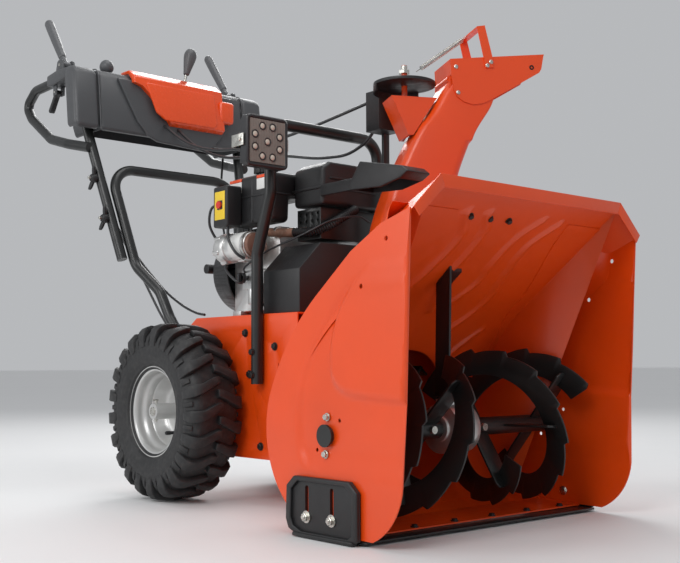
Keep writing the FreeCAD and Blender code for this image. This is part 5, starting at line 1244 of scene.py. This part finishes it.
# ---- engine ----
def fuel_tank():
    """Moulded tank with its welded seam and blank plates."""
    outline = [(-118, 592), (-66, 592), (-64, 644), (4, 648), (4, 700), (-118, 700)]
    parts = [prism("tank_shell", outline, along_y, 590, 742, "black_plastic", "frame", 12.0, 5)]
    parts.append(block("tank_seam", (-119.6, 588.4, 650), (5.6, 743.6, 655), "black_plastic", "frame", 2.2,
                       3))
    parts.append(block("tank_strap", (-119.0, 654, 596), (-100, 664, 690), "black_plastic", "frame", 2.0, 3))
    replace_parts(joined("fuel_tank_look", parts), "fuel_tank")
    for k, (low, high) in enumerate(((596.0, 638.0), (694.0, 738.0))):
        block(f"tank_plate_{k}", (-119.4, low, 664), (-117.6, high, 688), "white_label", "frame", 0.6, 2)
        block(f"tank_plate_band_{k}", (-119.6, low, 688.4), (-117.6, high, 695), "orange_plastic", "frame",
              0.6, 2)


def snow_hood():
    """Rounded hood over the air inlet with its ledge, grooves and forward visor."""
    def roof(x, z, y):
        return P(x, y, z)

    outline = [(-60, 622), (132, 622), (132, 700), (112, 714), (-38, 714), (-60, 700)]
    parts = [prism("hood_shell", outline, roof, 488, 586, "black_plastic", "frame", 9.0, 5)]
    parts.append(block("hood_ledge", (-63.0, 485.4, 655), (90, 589, 661), "black_plastic", "frame", 2.4, 3))
    parts.append(block("hood_brow", (-40, 484.5, 676), (110, 492, 681), "black_plastic", "frame", 2.0, 3))
    side = [(178.0, 640.0), (194.0, 652.0), (309.0, 677.0), (343.0, 633.0), (331.0, 624.0), (252.0, 620.0),
            (198.0, 630.0)]
    visor = prism("hood_visor", side, along_x, -118, -57, "black_plastic", "frame", 3.0, 4)
    room = [(203.0, 600.0), (202.0, 646.0), (306.0, 669.0), (334.0, 634.0), (327.0, 600.0)]
    parts.append(cut_away(visor, prism("room", room, along_x, -114, -61, "painted_shade_black", "frame")))
    parts.append(block("hood_arm", (-63, 325, 638), (-57, 492, 662), "black_plastic", "frame", 2.0, 3))
    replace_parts(joined("snow_hood", parts), "air_cleaner_cover")


def starter():
    """Starting motor with its band, ring and end disc, cast gear case and black switch box."""
    x, z = -116.0, 546.0
    back = Vector((0, 1, 0))
    can = [(0, 20), (0, 28.5), (2, 30.5), (6, 31), (70, 31), (74, 30.4), (76, 29), (76, 20)]
    parts = [lathe("starter_can", can, P(x, 650, z), P(x, 726, z), "bright_cast", "frame", 64, 40.0, True)]
    case = smooth_flat([(0, 20), (0, 31.0), (5, 33.4), (10, 34), (26, 34), (33, 32.6), (39, 28), (40, 16)], 3)
    parts.append(lathe("starter_case", case, P(x, 726, z), P(x, 766, z), "bright_cast", "frame", 64, 40.0))
    parts.append(lathe("starter_cap", [(0, 8), (1.5, 21), (4, 26), (14, 27), (14, 18)], P(x, 636, z),
                       P(x, 650, z),
                       "brown_band", "frame", 64, 40.0))
    for k in range(6):
        turn = math.radians(60 * k + 20)
        at = P(x + 30 * math.cos(turn), 741, z + 30 * math.sin(turn))
        parts.append(lathe(f"starter_boss_{k}", [(0, 5.5), (1, 6.2), (21, 6.2), (23, 4.5)], at, at + back,
                           "bright_cast", "frame", 20))
    parts.append(block("starter_foot", (-124, 676, 512), (-96, 700, 520), "bright_cast", "frame", 2.0, 3))
    whole = joined("starter_motor", parts)
    lathe("starter_label", [(0, 30.6), (0.4, 31.35), (42, 31.35), (42.4, 30.6)], P(x, 664, z), P(x, 706, z),
          "white_label", "frame", 64, 32.0, False)
    lathe("starter_ring", [(0, 30.5), (0.8, 32.2), (5, 32.2), (5.8, 30.5)], P(x, 651, z), P(x, 657, z),
          "zinc_steel", "frame", 64)
    box_look = block("switch_box", (-160, 690, 588), (-119.5, 744, 678), "black_plastic", "frame", 5.0, 4)
    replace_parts(whole, "electric_starter")
    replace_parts(box_look, "electric_starter")
    block("switch_plate", (-160.9, 698, 604), (-159.6, 736, 666), "yellow_label", "frame", 0.6, 2)
    block("switch_rim", (-161.6, 706, 626), (-159.6, 726, 646), "black_plastic", "frame", 0.9, 2)


def recoil_details():
    """Cooling slots of the recoil housing drawn as near-black slabs of painted shade, the leads beside it,
    the breather hose and a pipe collar.
    """
    for k in range(20):
        turn = 2 * math.pi * k / 20
        for ring, (low, high) in enumerate(((66.0, 74.0), (77.0, 86.0))):
            at = P((low + high) / 2 * math.cos(turn), 845.6 - 7 * ring,
                   500 + (low + high) / 2 * math.sin(turn))
            side = Vector((math.cos(turn), 0, math.sin(turn)))
            across = Vector((-math.sin(turn), 0, math.cos(turn)))

            def place(a, b, along, at=at, side=side, across=across):
                return at + (side * a + across * b + Vector((0, 1, 0)) * along) / 1000

            half = (high - low) / 2
            # Each slot is a thin near-black slab on the housing: painted shade where the opening would be.
            prism(f"recoil_slot_shade_{k}_{ring}", [(-half, -2.4), (half, -2.8), (half, 2.8), (-half, 2.4)],
                  place, -2.0,
                  1.2, "painted_shade_black", "frame", 0.5, 2)
    wire("starter_lead", [(-150, 700, 590), (-156, 690, 560), (-150, 672, 530), (-132, 664, 516)], 3.2,
         "cable_sheath", "frame")
    wire("switch_lead", [(-140, 742, 640), (-146, 770, 636), (-140, 786, 600), (-120, 780, 560),
                         (-100, 774, 520)],
         3.0, "cable_sheath", "frame")
    wire("throttle_cable", [(-112, 690, 486), (-132, 660, 500), (-122, 596, 528), (-84, 520, 560),
                            (-40, 484, 588), (20, 470, 600), (60, 474, 590)], 2.2, "cable_sheath", "frame")
    wire("fuel_line", [(-100, 700, 470), (-126, 700, 470), (-128, 740, 500), (-110, 752, 520)], 3.0,
         "cable_sheath", "frame")
    wire("ignition_lead", [(-96, 640, 470), (-128, 628, 450), (-126, 612, 420), (-100, 606, 404)], 2.6,
         "cable_sheath", "frame")
    path = smooth_path([P(-84, 556, 566), P(-66, 520, 566), P(-40, 496, 578), P(-4, 486, 600),
                        P(30, 486, 618)], 16)
    radii = [10.5 if k % 2 else 8.2 for k in range(len(path))]
    verts, faces = tube_mesh(path, radii, 20)
    piece("breather_hose", verts, faces, "black_plastic", "frame", 20.0)
    collar = P(-92, 600, 570)
    lathe("pipe_collar", [(0, 9.4), (0.5, 12.5), (11, 12.5), (11.5, 9.4)], collar,
          collar + Vector((-0.1, -0.9, 0)),
          "zinc_steel", "frame", 32)


# ---- stage ----
def studio():
    """Pale floor and backdrop, and soft lights."""
    mesh = bpy.data.meshes.new("floor")
    steps = 96
    rows = [(0.5, 0.0), (2.5, 0.0), (8.0, 0.0), (60.0, 0.0)]
    verts = [(0.0, 0.0, -0.001)]
    verts += [(r * math.cos(2 * math.pi * k / steps), r * math.sin(2 * math.pi * k / steps), z - 0.001)
              for r, z in rows for k in range(steps)]
    faces = [(0, 1 + k, 1 + (k + 1) % steps) for k in range(steps)]
    for i in range(len(rows) - 1):
        here, there = 1 + i * steps, 1 + (i + 1) * steps
        faces += [(here + k, there + k, there + (k + 1) % steps,
                   here + (k + 1) % steps) for k in range(steps)]
    mesh.from_pydata(verts, [], faces)
    mesh.shade_smooth()
    floor = bpy.data.objects.new("floor", mesh)
    bpy.context.scene.collection.objects.link(floor)
    floor.data.materials.append(surface("studio_floor", (0.80, 0.80, 0.80), 0.6, grain=200, mottle=0.01,
                                        patches=1.0))
    bpy.context.scene.view_settings.view_transform = "Standard"
    world = bpy.data.worlds.new("studio")
    bpy.context.scene.world = world
    world.use_nodes = True
    world.node_tree.nodes["Background"].inputs["Color"].default_value = (0.95, 0.97, 1.0, 1.0)
    world.node_tree.nodes["Background"].inputs["Strength"].default_value = 0.50
    middle = Vector((0.0, -0.1, 0.5))
    for name, place, size, power in (("key", (-2.6, -1.3, 2.4), 1.3, 36.0),
                                     ("fill", (-3.0, 1.0, 1.4), 1.6, 20.0),
                                     ("front", (-1.2, -3.2, 1.2), 1.2, 3.0),
                                     ("rim", (1.8, 2.0, 2.6), 1.6, 42.0),
                                     ("top", (0.0, -0.2, 3.0), 1.6, 20.0)):
        data = bpy.data.lights.new(name, "AREA")
        data.size = size
        data.energy = power
        lamp = bpy.data.objects.new(name, data)
        lamp.location = place
        lamp.rotation_euler = (middle - Vector(place)).to_track_quat("-Z", "Y").to_euler()
        bpy.context.scene.collection.objects.link(lamp)


def camera():
    data = bpy.data.cameras.new("camera")
    data.sensor_width = 36.0
    data.lens = 55.44
    obj = bpy.data.objects.new("camera", data)
    yaw, pitch, roll = 0.7117, 0.0785, -0.0047
    ahead = Vector((math.sin(yaw) * math.cos(pitch), math.cos(yaw) * math.cos(pitch), math.sin(pitch)))
    obj.location = P(-1437.4, -1162.9, 290.7)
    turn = ahead.to_track_quat("-Z", "Y") @ Quaternion((0, 0, 1), roll)
    obj.rotation_euler = turn.to_euler()
    bpy.context.scene.collection.objects.link(obj)
    bpy.context.scene.camera = obj


def dress_cad():
    """Give every CAD node that stays in view the finish of its slot."""
    for part in frame["record"]["subparts"]:
        mesh = NODES[part["node"]].data
        mesh.materials.clear()
        mesh.materials.append(M[part["material_slot"]])


def build():
    dress_cad()
    for name in SIDES:
        side_plate(name)
        corner_flange(name)
        auger_flight(name)
        tyre(name)
        rim(name)
        steering_trigger(name)
        skid_shoe(name)
    housing_liner()
    housing_fasteners()
    roof_lip()
    chute_spout()
    deflector_rivets()
    chute_nuts()
    coil_spring("deflector_return_spring", turned(0, 26.0, 899.0), turned(0, 140.0, 982.0), 4.6, 0.75, 46)
    work_light()
    console()
    console_ends()
    clutch_lever("auger_clutch", "auger_clutch_lever", -1)
    clutch_lever("drive_clutch", "drive_clutch_lever", 1)
    panel_lever("speed_lever", "speed_selector", -158.0, 0.0, 44.0,
                [(30, 6), (33, 10), (37, 15), (44, 17.8), (52, 17.8), (60, 14), (65, 8), (66.5, 2)])
    panel_lever("chute_lever", "chute_control", 66.0, 13.2, 84.0,
                [(72, 6), (75, 8), (84, 9.6), (104, 13.6), (122, 16.8), (134, 16.8), (144, 12.5), (149, 6),
                 (150, 1.5)])
    wing_knobs()
    frame_bolts()
    fuel_tank()
    snow_hood()
    starter()
    recoil_details()
    for node, width in (("belt_cover", 9.0),
                        ("muffler", 3.0), ("recoil_shroud", 1.6), ("auger_gearbox", 2.0),
                        ("gearbox_strut", 0.8), ("carburetor", 1.5), ("engine_block", 1.2),
                        ("chute_head", 2.0),
                        ("chassis_case", 1.0), ("scraper_bar", 0.8), ("light_bracket", 0.8),
                        ("recoil_handle", 1.5), ("fuel_cap", 1.2), ("choke_knob", 0.8)):
        soften(node, width)


build()
studio()
camera()
